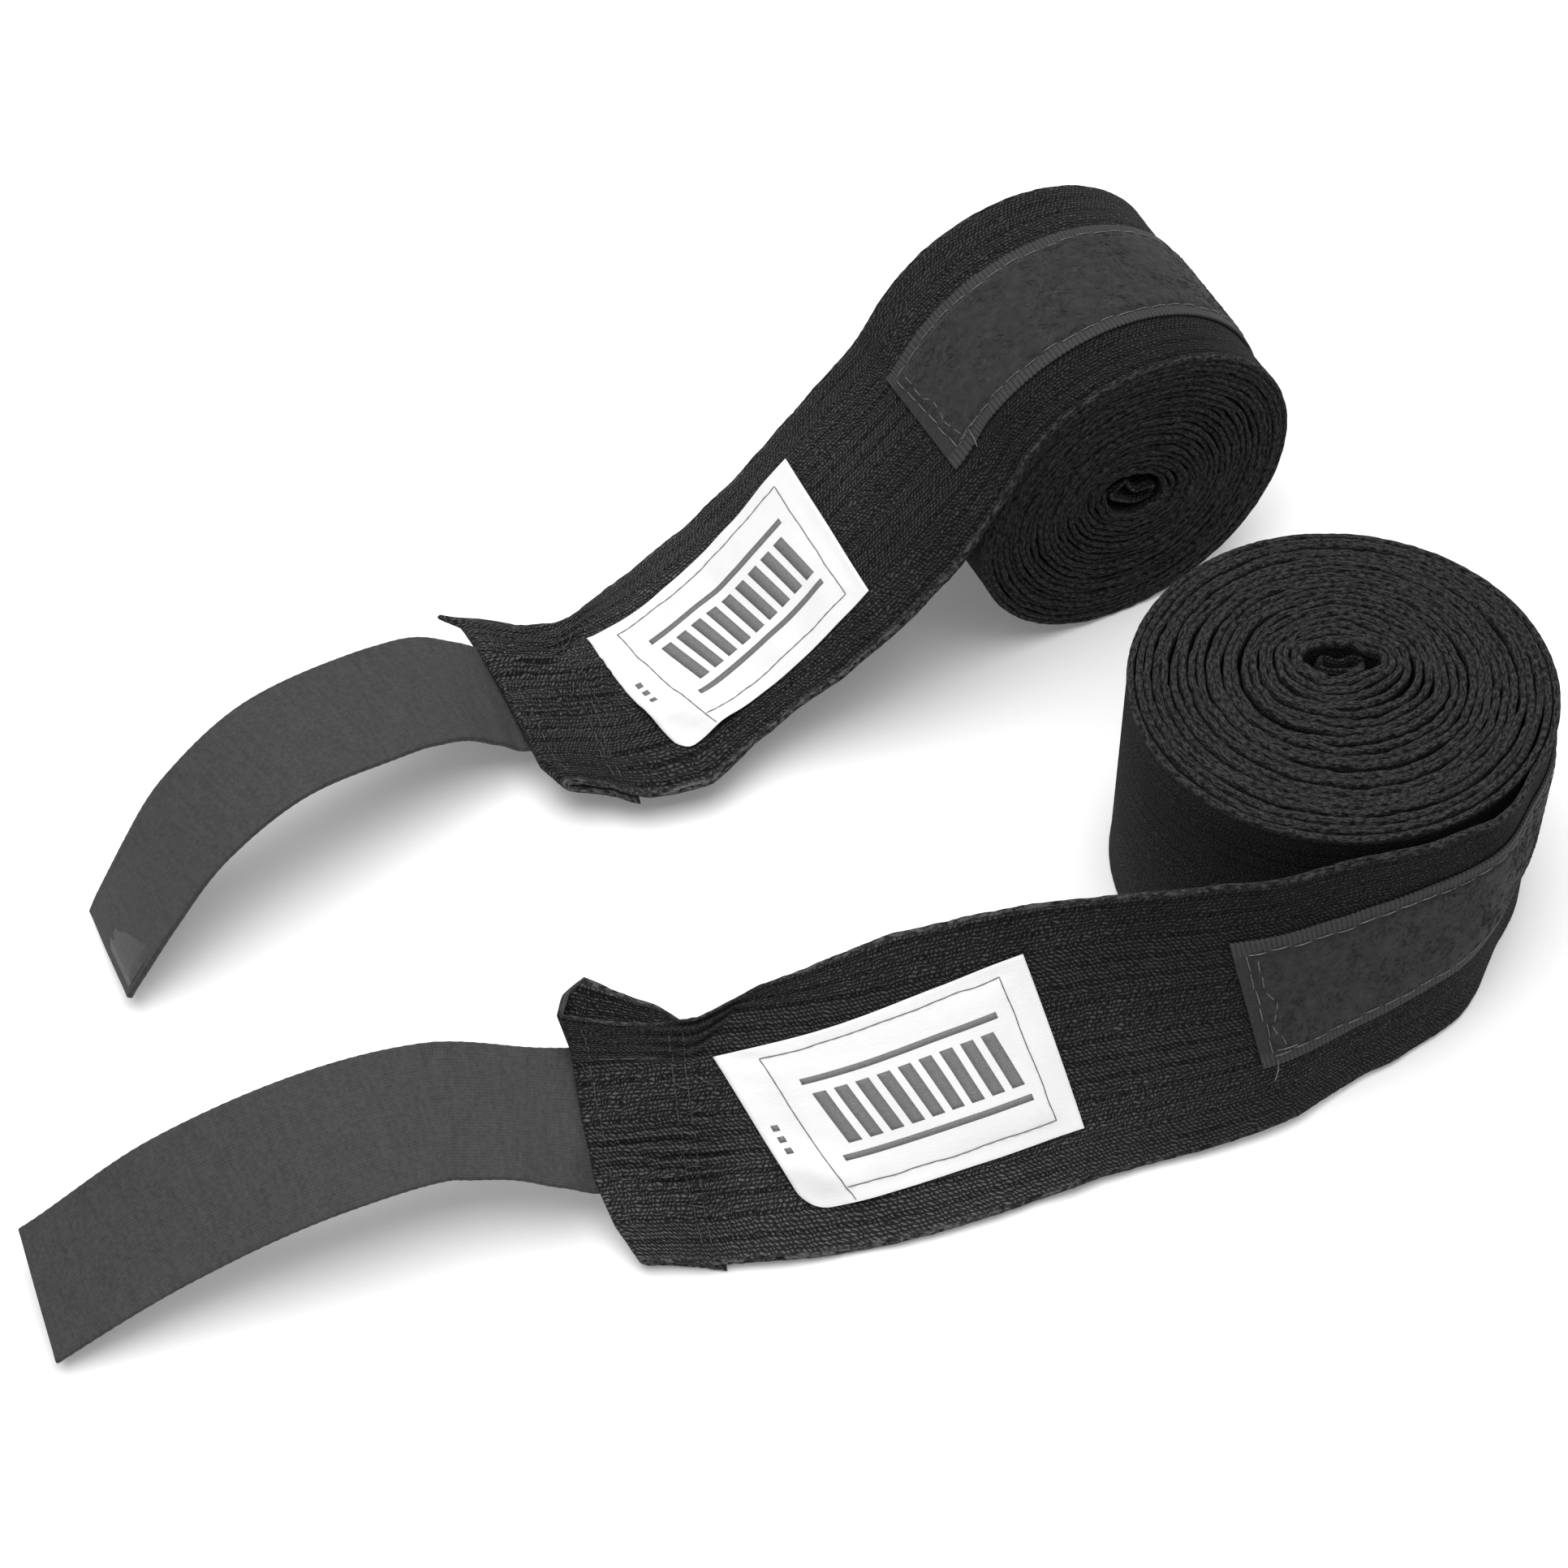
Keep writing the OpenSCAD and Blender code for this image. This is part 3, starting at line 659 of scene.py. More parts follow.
def strap_finish():
    """Smooth, closely woven strap, faintly streaked across its length."""
    f = Finish("strap_backing", roughness=0.66, specular=0.16, sheen=0.02)
    place, u, v, _ = f.cloth()
    weft = f.wave(u, 0.42)
    warp = f.wave(v, 0.55)
    grain = f.noise(place, 1.4, 3.0, 0.6)
    streak = f.noise(f.stretched((u, 0.9), (v, 0.14)), 1.0, 3.0, 0.65)
    height = f.math("ADD", f.product(f.product(weft, warp), 0.4), grain)
    mixed = f.scaled(streak, 0.5, f.product(height, 0.8))
    f.colour(f.ramp(mixed, (0.45, 0.032), (1.15, 0.066)))
    f.bump(mixed, 0.00012)
    return f.material


def patch_finish():
    """Backing of the loop patch, with fine ribs across its selvedges."""
    f = Finish("patch_backing", roughness=0.75, specular=0.12, sheen=0.03)
    place, u, v, _ = f.cloth()
    rib = f.product(f.wave(u, 0.8), f.between(f.math("ABSOLUTE", v), 9.5, 10.3))
    grain = f.noise(place, 1.8, 3.0, 0.6)
    height = f.scaled(rib, 0.7, grain)
    f.colour(f.ramp(height, (0.25, 0.022), (1.2, 0.050)))
    f.bump(height, 0.00014)
    return f.material


def pile_finish():
    """Brushed loops, matted unevenly."""
    f = Finish("loop_pile", roughness=0.92, specular=0.06, sheen=0.05, sheen_roughness=0.6)
    place = f.place()
    matted = f.noise(place, 520.0, 4.0, 0.6)
    fine = f.noise(place, 2600.0, 2.0, 0.7)
    mixed = f.scaled(fine, 0.35, matted)
    f.colour(f.ramp(mixed, (0.45, 0.024), (0.7, 0.033), (0.95, 0.046)))
    f.bump(mixed, 0.0002)
    return f.material


def satin_finish():
    """White satin with very fine lines along it."""
    f = Finish("label_satin", roughness=0.45, specular=0.35, sheen=0.05)
    _, u, v, _ = f.cloth()
    lines = f.wave(v, 0.22)
    float_length = f.noise(f.stretched((u, 0.5), (v, 4.0)), 1.0, 2.0)
    height = f.scaled(lines, 0.3, float_length)
    f.colour(f.ramp(height, (0.2, 0.77), (1.0, 0.85)))
    f.bump(height, 0.00003)
    return f.material


def plain_finish(name, low, high, roughness, specular, scale, bump, sheen=0.0):
    """Mottled single colour, for threads and hooks."""
    f = Finish(name, roughness=roughness, specular=specular, sheen=sheen)
    grain = f.noise(f.place(), scale, 3.0, 0.6)
    f.colour(f.ramp(grain, (0.3, low), (0.7, high)))
    f.bump(grain, bump)
    return f.material


woven = woven_finish()
strap_backing = strap_finish()
patch_backing = patch_finish()
loop_pile = pile_finish()
satin = satin_finish()
mark_ink = plain_finish("label_mark", 0.13, 0.2, 0.6, 0.3, 3000.0, 0.00003)
grey_thread = plain_finish("grey_thread", 0.05, 0.2, 0.5, 0.4, 2500.0, 0.00005)
label_thread = plain_finish("label_thread", 0.09, 0.16, 0.5, 0.4, 2500.0, 0.00005)
black_thread = plain_finish("black_thread", 0.02, 0.08, 0.5, 0.4, 2500.0, 0.00005)
hook_plastic = plain_finish("hook_plastic", 0.02, 0.035, 0.4, 0.5, 900.0, 0.00002)


# ---- Pieces ----

# Degrees of the outermost turn that belong to the free tape, and the radius where the dome ends
SPLIT_TURN = 372.0
DOME_RADIUS = 37.0


def selvedge(w, u, phase):
    """How far the tape's edge stands out, with its small weft loops."""
    loops = noise(u / 0.75, phase * 5.3, seed=w.seed + 9)
    slow = noise(u / 2.6, phase * 3.1, seed=w.seed + 4)
    return 0.14 + 0.1 * loops + 0.06 * slow


def wound_tape(w):
    """The roll, all but its last turn: one long spiral of cloth whose edges stand unevenly."""
    phi, known_u = w.phi_u
    start = known_u[0] + 1
    end = np.interp(w.half_turns * 180 - SPLIT_TURN, phi, known_u)
    spacing = 0.45
    u = np.arange(start, end, spacing)
    u = np.append(u, end)
    angle = np.interp(u, known_u, phi)
    turn = angle / 360
    a = np.radians(angle)
    mid, _, wide, n = w.tape.frame(u)
    v_lines = np.array([-25, -24.5, -23.6, -20, 0, 20, 23.6, 24.5, 25])
    shape = np.array([0.7, 1.02, 1.1, 1, 1, 1, 1.1, 1.02, 0.7])
    m = len(v_lines)
    loose = ramp(360, 700, w.half_turns * 180 - angle)
    axis = mid - w.origin
    p, q = axis @ w.e1, axis @ w.e2
    slack = slackness(w, p / np.hypot(p, q), q / np.hypot(p, q))
    points = np.zeros((len(u), 2 * m, 3))
    cloth = np.zeros((len(u), 2 * m, 3))
    for k, (v, s) in enumerate(zip(v_lines, shape)):
        edge = np.sign(v) * ramp(18, 25, abs(v))
        side = 1 if v > 0 else 2
        uneven = noise(turn * 1.7, 2.2 * np.cos(a) + 5, 2.2 * np.sin(a) + 5, seed=w.seed + 20 + side)
        lift = loose * w.uneven * uneven
        lift = lift + w.dome * (1 - (np.hypot(*axis.T[:2]) / DOME_RADIUS) ** 2)
        if w.name == "front" and v < 0:
            lift = -0.25 + 0.25 * uneven
        lumps = selvedge(w, u, side + k)
        out = edge * (lift + (lumps - 0.14) * (abs(v) > 23)) if v != 0 else 0 * u
        thick = TAPE_T * w.fill * slack / 2 * s * (1 + 0.4 * (lumps - 0.14) * (abs(v) > 23))
        sway = abs(edge) * loose * 0.2 * noise(u / 1.9, side * 7.7, seed=w.seed + 40)
        for top, row in ((1, k), (-1, 2 * m - 1 - k)):
            h = top * thick + sway
            points[:, row] = mid + (v + out)[:, None] * wide + h[:, None] * n
            cloth[:, row] = np.stack([u, np.full_like(u, v * w.pale), h], axis=1)
    faces = tube_faces(len(u), 2 * m)
    piece = build(f"{w.name}_wound_tape", points, faces, woven, cloth)
    stand_in(w, piece, "roll", "woven_tape", "rolled_tape")


def free_tape(w):
    """The tape's last turn, its run off the roll, its free end and the turned-under hem."""
    phi, known_u = w.phi_u
    start = np.interp(w.half_turns * 180 - SPLIT_TURN, phi, known_u)
    fine = 0.8
    flat_u = np.append(np.arange(start, w.tail_l, fine), w.tail_l)
    bends = np.radians(np.arange(15, 180, 15))
    turned_u = np.arange(w.tail_l, w.tail_l - HEM_L - 0.1, -fine)
    u = np.concatenate([flat_u, np.full(len(bends), w.tail_l), turned_u])
    lean = np.concatenate([0 * flat_u, bends, np.full(len(turned_u), np.pi)])
    ride = (1 - np.cos(lean)) / 2
    depth = ride * HEM_MID
    ahead = -HEM_MID / 2 * np.sin(lean)
    loop = section(TAPE_W / 2, 0.52, 0.5, TAPE_T, under=1.1)
    advance = np.abs(np.diff(u)) + np.abs(np.diff(lean)) * -HEM_MID / 2
    length = np.concatenate([[0], np.cumsum(advance)]) + start
    uu, v, h = spread(u, loop)
    ll = np.repeat(length[:, None], len(loop), axis=1)
    # Selvedges: a thicker band with a line inside it, and small lumps on the very edge
    band = ramp(21.5, 22.5, np.abs(v)) * (1 - ramp(24.6, 25.1, np.abs(v)))
    lumps = np.where(v > 0, selvedge(w, ll, 1), selvedge(w, ll, 2)) * ramp(22.8, 24, np.abs(v))
    h = h * (1 + 0.14 * band + 0.7 * lumps)
    points = on_tape(w, uu, v, h, m=ride[:, None], lean=lean[:, None], depth=depth[:, None])
    _, t, wide, _ = w.tape.frame(uu)
    points = points + (np.sign(v) * (lumps - 0.14 * (np.abs(v) > 23)))[..., None] * wide
    points = points + ahead[:, None, None] * t
    cloth = np.stack([ll, v * w.pale, h], axis=-1)
    points[..., 2] = np.maximum(points[..., 2], FLOOR_GAP)
    piece = build(f"{w.name}_free_tape", points, tube_faces(len(u), len(loop)), woven, cloth)
    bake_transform(piece)
    stand_in(w, piece, None, "woven_tape", "tape_run", "tape_tail")


away = np.array([-0.36, -0.93, 0.0])
away /= np.linalg.norm(away)
front.blend = (tuple(away * 49 * MM), tuple(away * 60 * MM))
hinge_turn = math.radians(156)
out_dir = math.cos(hinge_turn) * rear.e1 + math.sin(hinge_turn) * rear.e2
rear.blend = (
    tuple((rear.origin + out_dir * 33.6) * MM),
    tuple((rear.origin + out_dir * 45) * MM),
)


def thumb_loop(w):
    """The loop at the tape's inner end, crumpled inside the core."""
    a = np.linspace(0, 2 * np.pi, 72, endpoint=False)
    r = w.loop_size
    crumple = 0.06 * noise(3 * np.cos(a), 3 * np.sin(a), seed=w.seed)
    dent = w.loop_dent * np.exp(-((a - np.pi / 2) / 0.5) ** 2)
    x = r[0] * np.cos(a) * (1 + 0.1 * np.cos(3 * a + 1) + crumple)
    y = r[1] * np.sin(a) * (1 + 0.16 * np.cos(2 * a + 0.6)) + dent
    c, s = math.cos(w.crush_turn), math.sin(w.crush_turn)
    p, q = c * x - s * y, s * x + c * y
    mid = w.origin + (p + w.offset[0])[:, None] * w.e1 + (q + w.offset[1])[:, None] * w.e2
    ahead = unit(np.roll(mid, -1, axis=0) - np.roll(mid, 1, axis=0))
    n = np.cross(np.repeat(w.wide[None], len(a), axis=0), ahead)
    u = np.concatenate([[0], np.cumsum(np.linalg.norm(np.diff(mid, axis=0), axis=1))])
    v_lines = np.array([-23, -22.4, -20, 0, 20, 22.4, 23])
    shape = np.array([0.5, 0.95, 1, 1, 1, 0.95, 0.5])
    m = len(v_lines)
    points = np.zeros((len(a), 2 * m, 3))
    cloth = np.zeros((len(a), 2 * m, 3))
    for k, (v, thin) in enumerate(zip(v_lines, shape)):
        out = np.sign(v) * (0.5 * noise(u / 3, v, seed=w.seed) + 0.8) * (abs(v) > 22)
        for top, row in ((1, k), (-1, 2 * m - 1 - k)):
            h = top * w.loop_fill * thin * (1 + 0.3 * noise(u / 1.6, v, seed=w.seed + 1))
            points[:, row] = mid + (v + out)[:, None] * w.wide + h[:, None] * n
            cloth[:, row] = np.stack([u, np.full_like(u, v), h], axis=1)
    count = 2 * m
    faces = tube_faces(len(a), count, closed_ends=False)
    last = (len(a) - 1) * count
    faces += [(last + j, last + (j + 1) % count, (j + 1) % count, j) for j in range(count)]
    piece = build(f"{w.name}_thumb_strip", points, faces, woven, cloth)
    stand_in(w, piece, "roll", "woven_tape", "thumb_loop")


def thumb_bartack(w):
    """Thread bars that sew the thumb loop to the tape's inner end."""
    runs = []
    angle = math.radians(w.tack_turn)
    r = np.linspace(w.tack_reach - 2.4, w.tack_reach + 0.2, 5)
    bow = 0.25 * np.sin(np.linspace(0, np.pi, 5))
    p, q = r * math.cos(angle) + w.offset[0], r * math.sin(angle) + w.offset[1]
    for v in (np.arange(9) - 4) * 2.4:
        runs.append(w.origin + p[:, None] * w.e1 + q[:, None] * w.e2 + (v + bow)[:, None] * w.wide)
    piece = threads(f"{w.name}_thumb_bartack", runs, 0.22, black_thread)
    stand_in(w, piece, "roll", "black_thread", "thumb_loop_bartack")


def strip_on_tape(w, name, ends, width, thick, height, material, spacing, adjust, rounding=0.2):
    """A flat strip that lies on the tape and follows its surface."""
    u0, u1 = ends
    u = np.append(np.arange(u0, u1, spacing), u1)
    loop = section(width / 2, spacing, rounding, thick)
    uu, v, h = spread(u, loop)
    h = h + height
    cloth = np.stack([uu, v, h], axis=-1)
    points = on_tape(w, *adjust(uu, v, h))
    return build(name, points, tube_faces(len(u), len(loop)), material, cloth)


PATCH_Z = 0.92


def patch_place(w, u, v):
    """The patch is sewn on a little crooked, and its end is cut on a slant."""
    shift, slant, high, rise = w.patch
    along = u + (shift + slant * (v + PATCH_W / 2)) * ramp(-40, 0, u)
    return along, v * 1.03 + high + rise * ramp(-12, -50, u)


def loop_patch(w):
    """Backing of the loop patch: its long edges are slightly scalloped selvedges."""
    def adjust(u, v, h):
        edge = ramp(11.6, 12.4, np.abs(v))
        ripple = 0.12 * np.cos(2 * np.pi * u / 0.8)
        u, v = patch_place(w, u, v)
        return u, v + np.sign(v) * edge * ripple, h

    piece = strip_on_tape(
        w, f"{w.name}_patch_backing", (PATCH_END - PATCH_L, PATCH_END), PATCH_W, 0.6, PATCH_Z,
        patch_backing, 0.42, adjust
    )
    stand_in(w, piece, "roll", "patch_backing", "loop_patch")


def pile(w):
    """Brushed loops on the patch: a matted bed and short bent fibres that stand out of it."""
    half = PATCH_W / 2 - 2.5
    u0, u1 = PATCH_END - PATCH_L + 2.6, PATCH_END - 2.6
    spacing = 0.5
    u = np.append(np.arange(u0, u1, spacing), u1)
    v = np.linspace(-half, half, int(2 * half / spacing) + 1)
    uu, vv = np.meshgrid(u, v, indexing="ij")
    rise = ramp(0, 1.2, half - np.abs(vv)) * ramp(0, 1.2, np.minimum(uu - u0, u1 - uu))
    bed = 0.34 + 0.05 * noise(uu / 1.1, vv / 1.1, seed=w.seed)
    bed = bed + 0.08 * noise(uu / 3.5, vv / 3.5, seed=w.seed)
    top = PATCH_Z + 0.3 + bed * rise
    pu, pv = patch_place(w, uu, vv)
    points = np.concatenate([
        on_tape(w, pu, pv, top).reshape(-1, 3),
        on_tape(w, pu, pv, PATCH_Z + 0.2 + 0 * top).reshape(-1, 3),
    ])
    faces = slab_faces(*uu.shape)
    count = 3600
    fu = rng.uniform(u0 + 0.5, u1 - 0.5, count)
    fv = rng.uniform(-half + 0.4, half - 0.4, count)
    heading = rng.uniform(0, 2 * np.pi, count)
    reach = rng.uniform(0.5, 1.6, count)
    tall = rng.uniform(0.05, 0.2, count)
    curl = rng.uniform(-1.5, 1.5, count)
    ring = []
    for t in np.linspace(0, 1, 5):
        turn = heading + curl * t
        x = fu + reach * t * np.cos(turn)
        y = np.clip(fv + reach * t * np.sin(turn), -half, half)
        z = PATCH_Z + 0.5 + tall * 4 * t * (1 - t) + 0.05
        ring.append(on_tape(w, *patch_place(w, x, y), z))
    ring = np.array(ring)
    extra = []
    base = len(points)
    for k in range(count):
        run = ring[:, k]
        ahead = np.gradient(run, axis=0)
        side = unit(np.cross(ahead, [0.2, 0.3, 0.9]), TINY)
        up = unit(np.cross(side, ahead), TINY)
        first = base + len(extra)
        for p, a, b in zip(run, side, up):
            extra += [p + 0.045 * a, p - 0.022 * a + 0.039 * b, p - 0.022 * a - 0.039 * b]
        faces += tube_faces(5, 3, start=first)
    points = np.concatenate([points, np.array(extra)])
    piece = build(f"{w.name}_pile_cloth", points, faces, loop_pile)
    stand_in(w, piece, "roll", "loop_pile", "loop_pile")


STITCH_GAP = 0.7


def stitch_run(w, corners, height, length=3.0, wobble=0.15, place=None):
    """Stitches along straight lines between corners, each a thread that dips at both ends."""
    runs = []
    for a, b in zip(corners[:-1], corners[1:]):
        a, b = np.array(a, float), np.array(b, float)
        count = max(1, int(round(np.linalg.norm(b - a) / (length + STITCH_GAP))))
        across = np.array([-(b - a)[1], (b - a)[0]]) / np.linalg.norm(b - a)
        for k in range(count):
            f = np.linspace(k + 0.08, k + 0.92, 7) / count
            sway = wobble * (rng.random() - 0.5) * 2
            sway = sway + 0.12 * np.linspace(-1, 1, 7) * (rng.random() - 0.5)
            spot = a + f[:, None] * (b - a) + np.outer(sway, across).reshape(7, 2)
            arch = 0.16 * np.sin(np.linspace(0, np.pi, 7)) ** 0.6 - 0.05
            x, y = spot.T if place is None else place(w, *spot.T)
            runs.append(on_tape(w, x, y, height + arch))
    return runs


def patch_stitches(w):
    """Grey stitches round the patch, guided by hand."""
    u0, u1 = PATCH_END - PATCH_L + 2.2, PATCH_END - 2.2
    v = PATCH_W / 2 - 2.3
    height = PATCH_Z + 0.42
    corners = [(u0, -v), (u1, -v), (u1, v), (u0, v), (u0, -v)]
    runs = stitch_run(w, corners, height, length=2.9, wobble=0.3, place=patch_place)
    # A crooked second row by the end, back-stitches at its corner, and a loose thread end
    crooked = [(u1 - 1.6, v - 1), (u1 - 1.2, 3), (u1 - 2.6, 0.5), (u1 - 1.4, -4), (u1 - 2.4, -v + 1)]
    runs += stitch_run(w, crooked, height + 0.1, length=2.2, wobble=0.4, place=patch_place)
    back = [(u1 - 5, -v + 0.5), (u1 - 0.5, -v + 0.8)]
    runs += stitch_run(w, back, height + 0.1, wobble=0.3, place=patch_place)
    f = np.linspace(0, 1, 8)
    loose_end = (u1 - 0.4 + 1.2 * f * f, -v - 0.5 - 4.2 * f, height + 0.2 + 0.3 * np.sin(np.pi * f))
    runs.append(on_tape(w, *loose_end))
    piece = threads(f"{w.name}_patch_thread", runs, 0.11, grey_thread)
    stand_in(w, piece, "roll", "grey_thread", "patch_stitching")


LABEL_Z = 0.82


def label_bend(w):
    """The label is held by its stitches: its middle puffs up, and its lower corner by the hem droops."""
    def adjust(u, v, h):
        x = u - w.label_u
        # That corner is round, so the square corner is drawn in to a quarter circle
        a = np.maximum(x - (LABEL_L - w.label_round), 0)
        b = np.maximum(-v - (LABEL_W / 2 - w.label_round), 0)
        draw = np.maximum(a, b) / np.maximum(np.hypot(a, b), 1e-6)
        u = u - a * (1 - draw) * (a > 0)
        v = v + b * (1 - draw) * (b > 0)
        edge = np.minimum.reduce([x, LABEL_L - x, LABEL_W / 2 - np.abs(v)])
        lift = 0.25 * (1 - ramp(0, 2.5, edge)) * (0.6 + 0.4 * noise(u / 6, v / 6, seed=w.seed + 3))
        puff = 0.32 * noise(u / 8, v / 14, seed=w.seed + 30)
        puff = puff + 0.14 * noise(u / 4, v / 7, seed=w.seed + 31) + 0.3
        puff = puff * ramp(1, 6, edge)
        away = np.hypot(x - LABEL_L, v + LABEL_W / 2)
        swell = 1.3 * np.exp(-((away - 9) / 4) ** 2)
        lift = lift * ramp(3, 12, away)
        far, high = x / LABEL_L, v / LABEL_W + 0.5
        shares = ((1 - far) * high, (1 - far) * (1 - high), far * high, far * (1 - high))
        pull = sum(share[..., None] * np.array(p, float) for share, p in zip(shares, w.label_pull))
        return u + pull[..., 0], v + pull[..., 1], h + lift + puff + swell
    return adjust


def label(w):
    """White satin label, sewn down inside its edges."""
    piece = strip_on_tape(
        w, f"{w.name}_satin_label", (w.label_u, w.label_u + LABEL_L), LABEL_W, 0.22, LABEL_Z,
        satin, 0.8, label_bend(w), rounding=0.08
    )
    stand_in(w, piece, "tail", "label_satin", "label")


def label_mark(w):
    """A plain woven mark: slanting bars between two rules, and three ticks by the edge."""
    adjust = label_bend(w)
    points, faces = [], []

    def bar(u0, u1, v0, v1, slant=0.0):
        nu = max(2, int(abs(u1 - u0) / 0.8) + 1)
        nv = max(2, int(abs(v1 - v0) / 0.8) + 1)
        uu, vv = np.meshgrid(np.linspace(u0, u1, nu), np.linspace(v0, v1, nv), indexing="ij")
        uu = uu + slant * (vv - v0)
        start = len(points)
        for lift in (0.15, 0.05):
            a, b, c = adjust(uu, vv, np.full(uu.shape, LABEL_Z + lift))
            points.extend(on_tape(w, a, b, c).reshape(-1, 3))
        faces.extend(slab_faces(nu, nv, start))

    left = w.label_u + 7
    for k in range(9):
        bar(left + 0.6 + 3.7 * k, left + 2.9 + 3.7 * k, -5.4, 5.4, slant=0.12)
    for v in (-8.6, 7.4):
        bar(left + 0.2, left + 34.6, v, v + 1.2)
    end = w.label_u + LABEL_L
    for k in range(3):
        bar(end - 3.4, end - 2.2, -5 + 2.4 * k, -3.8 + 2.4 * k)
    piece = build(f"{w.name}_label_mark", np.array(points), faces, mark_ink)
    stand_in(w, piece, "tail", "label_satin")


def label_stitches(w):
    """One thin thread in a frame inside the label's edges, which runs on past the lower corner."""
    end = w.label_u + LABEL_L
    low, high = -LABEL_W / 2 + 3, LABEL_W / 2 - 2.4
    adjust = label_bend(w)
    corners = [(end - 8.2, low - 2.6), (end - 7.8, low), (end - 6.2, high), (w.label_u + 4.5, high)]
    corners += [(w.label_u + 4.8, low), (end - 7.8, low)]
    spots = []
    for a, b in zip(corners[:-1], corners[1:]):
        a, b = np.array(a), np.array(b)
        length = np.linalg.norm(b - a)
        along = np.arange(0, length, 0.45)
        across = np.array([-(b - a)[1], (b - a)[0]]) / length
        sway = 0.22 * noise(along / 3.4, a[0], seed=w.seed)
        sway = sway * ramp(0, 2, along) * ramp(0, 2, length - along)
        spots += list(a + np.outer(along / length, b - a) + np.outer(sway, across))
    spots = np.array(spots)
    dip = 0.05 * np.cos(2 * np.pi * np.arange(len(spots)) * 0.45 / 2.3)
    x, y, z = adjust(spots[:, 0], spots[:, 1], LABEL_Z + 0.17 + dip)
    piece = threads(f"{w.name}_label_thread", [on_tape(w, x, y, z)], 0.1, label_thread)
    stand_in(w, piece, "tail", "grey_thread", "label_stitching")


def hem_stitches(w):
    """Rows of black stitches through the hem, and a few loose thread ends."""
    runs = []
    edge = w.tail_l - HEM_L + 3
    for u in (edge, edge + 2.2):
        runs += stitch_run(w, [(u, -22), (u, 20)], 0.55, wobble=0.3)
    runs += stitch_run(w, [(w.tail_l - 1.8, -22), (w.tail_l - 1.8, 21)], 0.5, length=2.2)
    for v in (-10.5, 10.5):
        runs += stitch_run(w, [(edge + 4, v), (w.tail_l - 3, v)], 0.55)
    for _ in range(7):
        u, v = rng.uniform(edge - 3, edge + 4), rng.uniform(-20, 14)
        f = np.linspace(0, 1, 12)
        turn = rng.uniform(0, 2 * np.pi) + rng.uniform(-1.6, 1.6) * f
        x = u + 4.5 * np.cumsum(np.cos(turn)) / 12
        y = v + 4.5 * np.cumsum(np.sin(turn)) / 12
        runs.append(on_tape(w, x, y, 0.75 + 0.5 * np.sin(np.pi * f)))
    piece = threads(f"{w.name}_hem_thread", runs, 0.12, black_thread)
    stand_in(w, piece, "tail", "black_thread", "hem_stitching")


def strap(w):
    """The hook strap in one piece, from its end under the hem to its free end."""
    spacing = 0.6
    u = np.append(np.arange(w.strap.s[0] + 0.8, w.strap_l, spacing), w.strap_l)
    loop = section(STRAP_W / 2, spacing, 0.35, STRAP_T)
    mid, t, wide, n = (a[:, None] for a in w.strap.frame(u))
    # It turns and rises as it comes out from under the hem
    out = (ramp(-7, 2, u) * (1 - ramp(6, 22, u)))[:, None, None]
    c, s = np.cos(out * w.strap_turn), np.sin(out * w.strap_turn)
    wide, n = c * wide + s * n, c * n - s * wide
    mid = mid + out * w.strap_rise * n
    uu, vv, hh = spread(u, loop)
    # A slight crown, and a rim a little thicker than the middle
    wavy = 0.12 * noise(uu / 16, vv / 12, seed=w.seed) * ramp(8, 25, uu)
    rim = 1 + 0.12 * ramp(10.6, 11.6, np.abs(vv))
    ripple = 0.04 * np.sign(vv) * ramp(12, 12.4, np.abs(vv)) * np.cos(2 * np.pi * uu / 0.9)
    points = mid + (vv + ripple)[..., None] * wide + (hh * rim + wavy)[..., None] * n
    # The free end is cut on a slant
    slant = ramp(w.strap_l - 30, w.strap_l, uu) * (w.strap_cut[0] + w.strap_cut[1] * vv)
    points = points + slant[..., None] * t * np.array([1.0, 1.0, 0.0])
    cloth = np.stack([uu, vv, hh], axis=-1)
    piece = build(f"{w.name}_strap_cloth", points, tube_faces(len(u), len(loop)), strap_backing, cloth)
    t0 = w.strap.frame(np.array([0.0]))[1][0]
    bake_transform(piece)
    stand_in(w, piece, None, "strap_backing", "strap_root", "hook_strap")


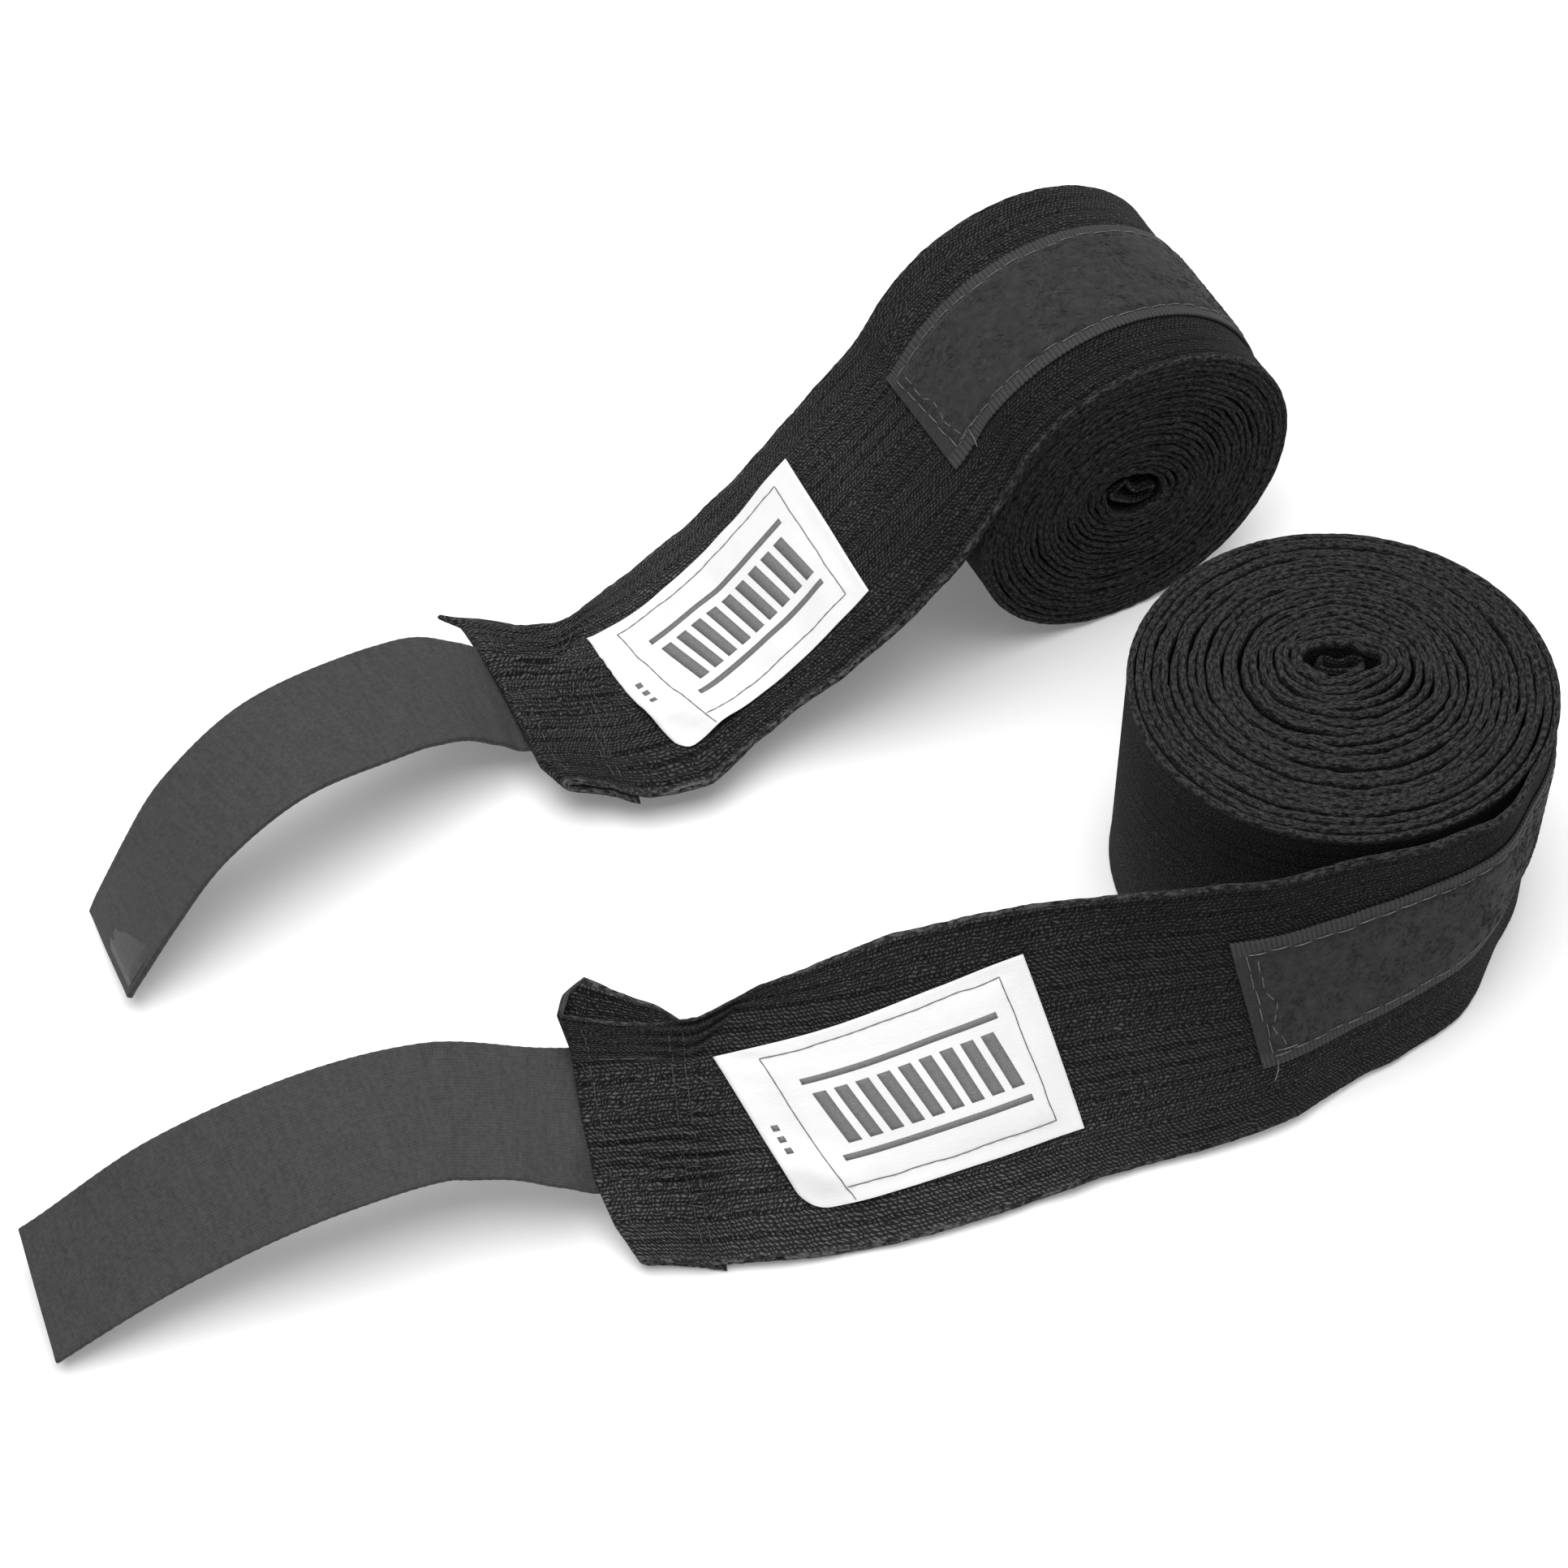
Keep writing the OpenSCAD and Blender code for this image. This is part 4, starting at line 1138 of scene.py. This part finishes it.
def hooks(w):
    """A field of small bent hooks under the strap, on a thin base."""
    u0, u1 = 26.0, w.strap_l - 2
    half = STRAP_W / 2 - 1.5
    spacing = 1.35
    us = np.arange(u0 + 0.5, u1 - 0.3, spacing)
    vs = np.arange(-half + 0.4, half - 0.2, spacing)
    points, faces = [], []
    base_u = np.append(np.arange(u0, u1, 2.0), u1)
    loop = section(half, 3.0, 0.08, 0.14)
    mid, _, wide, n = (a[:, None] for a in w.strap.frame(base_u))
    wavy = 0.12 * noise(base_u[:, None] / 16, loop[None, :, 0] / 12, seed=w.seed)
    wavy = wavy * ramp(8, 25, base_u)[:, None]
    h = loop[None, :, 1:2] - STRAP_T / 2 - 0.09 + wavy[..., None]
    points.extend((mid + loop[None, :, 0:1] * wide + h * n).reshape(-1, 3))
    faces += tube_faces(len(base_u), len(loop))
    profile = [(0.0, 0.0), (0.02, 0.28), (0.12, 0.48), (0.3, 0.52), (0.4, 0.38)]
    for i, u in enumerate(us):
        mid, t, wide, n = (a[0] for a in w.strap.frame(np.array([u])))
        flip = 1 if i % 2 else -1
        for v in vs:
            shake = rng.uniform(-0.12, 0.12, 2)
            sink = STRAP_T / 2 + 0.1 - 0.12 * float(noise(u / 16, v / 12, seed=w.seed))
            foot = mid + (v + shake[0]) * wide - sink * n
            start = len(points)
            for x, y in profile:
                p = foot + (shake[1] + flip * x) * t - y * n
                thin = 0.1 if y < 0.5 else 0.08
                points += [p + thin * wide, p + thin * t, p - thin * wide, p - thin * t]
            faces += tube_faces(len(profile), 4, start=start)
    piece = build(f"{w.name}_hooks", np.array(points), faces, hook_plastic)
    stand_in(w, piece, "strap", "hook_plastic", "hook_field")


for wrap in wraps:
    wound_tape(wrap)
    free_tape(wrap)
    thumb_loop(wrap)
    thumb_bartack(wrap)
    loop_patch(wrap)
    pile(wrap)
    patch_stitches(wrap)
    label(wrap)
    label_mark(wrap)
    label_stitches(wrap)
    hem_stitches(wrap)
    strap(wrap)
    hooks(wrap)


# ---- Floor, light and camera ----

def floor():
    f = Finish("floor_paper", roughness=0.9, specular=0.1)
    f.colour(f.ramp(f.noise(f.place(), 1.5), (0.0, 0.9), (1.0, 0.92)))
    # A little glow stands for the light that a white studio sweep throws back
    f.shader.inputs["Emission Color"].default_value = (1, 1, 1, 1)
    f.shader.inputs["Emission Strength"].default_value = 0.14
    size = 4.0
    low = -0.0004
    mesh = bpy.data.meshes.new("floor")
    corners = [(-size, -size, low), (size, -size, low), (size, size, low), (-size, size, low)]
    mesh.from_pydata(corners, [], [(0, 1, 2, 3)])
    mesh.materials.append(f.material)
    add_object("floor", mesh)


def area_light(name, place, aim, size, power):
    data = bpy.data.lights.new(name, "AREA")
    data.size = size
    data.energy = power
    lamp = add_object(name, data)
    direction = np.array(aim, float) - np.array(place, float)
    lamp.location = place
    lamp.rotation_euler = Vector(direction).to_track_quat("-Z", "Y").to_euler()


floor()
world = bpy.data.worlds.new("studio")
bpy.context.scene.world = world
world.use_nodes = True
sky = world.node_tree.nodes["Background"].inputs
sky["Color"].default_value = (1, 1, 1, 1)
sky["Strength"].default_value = 0.36
area_light("overhead", (-0.2, -0.02, 1.25), (-0.08, 0, 0), 1.2, 18)
area_light("side", (0.6, 0.8, 0.9), (-0.05, 0, 0.02), 0.9, 3)

aim = np.array([-0.0953, -0.0153, 0.0412])
elevation = math.radians(52)
distance = 0.7
camera_data = bpy.data.cameras.new("camera")
camera_data.lens = 94
camera_data.sensor_width = 36
camera = add_object("camera", camera_data)
camera.location = aim + distance * np.array([0, -math.cos(elevation), math.sin(elevation)])
camera.rotation_euler = (math.radians(90) - elevation, 0, 0)
bpy.context.scene.camera = camera
bpy.context.scene.view_settings.view_transform = "Standard"
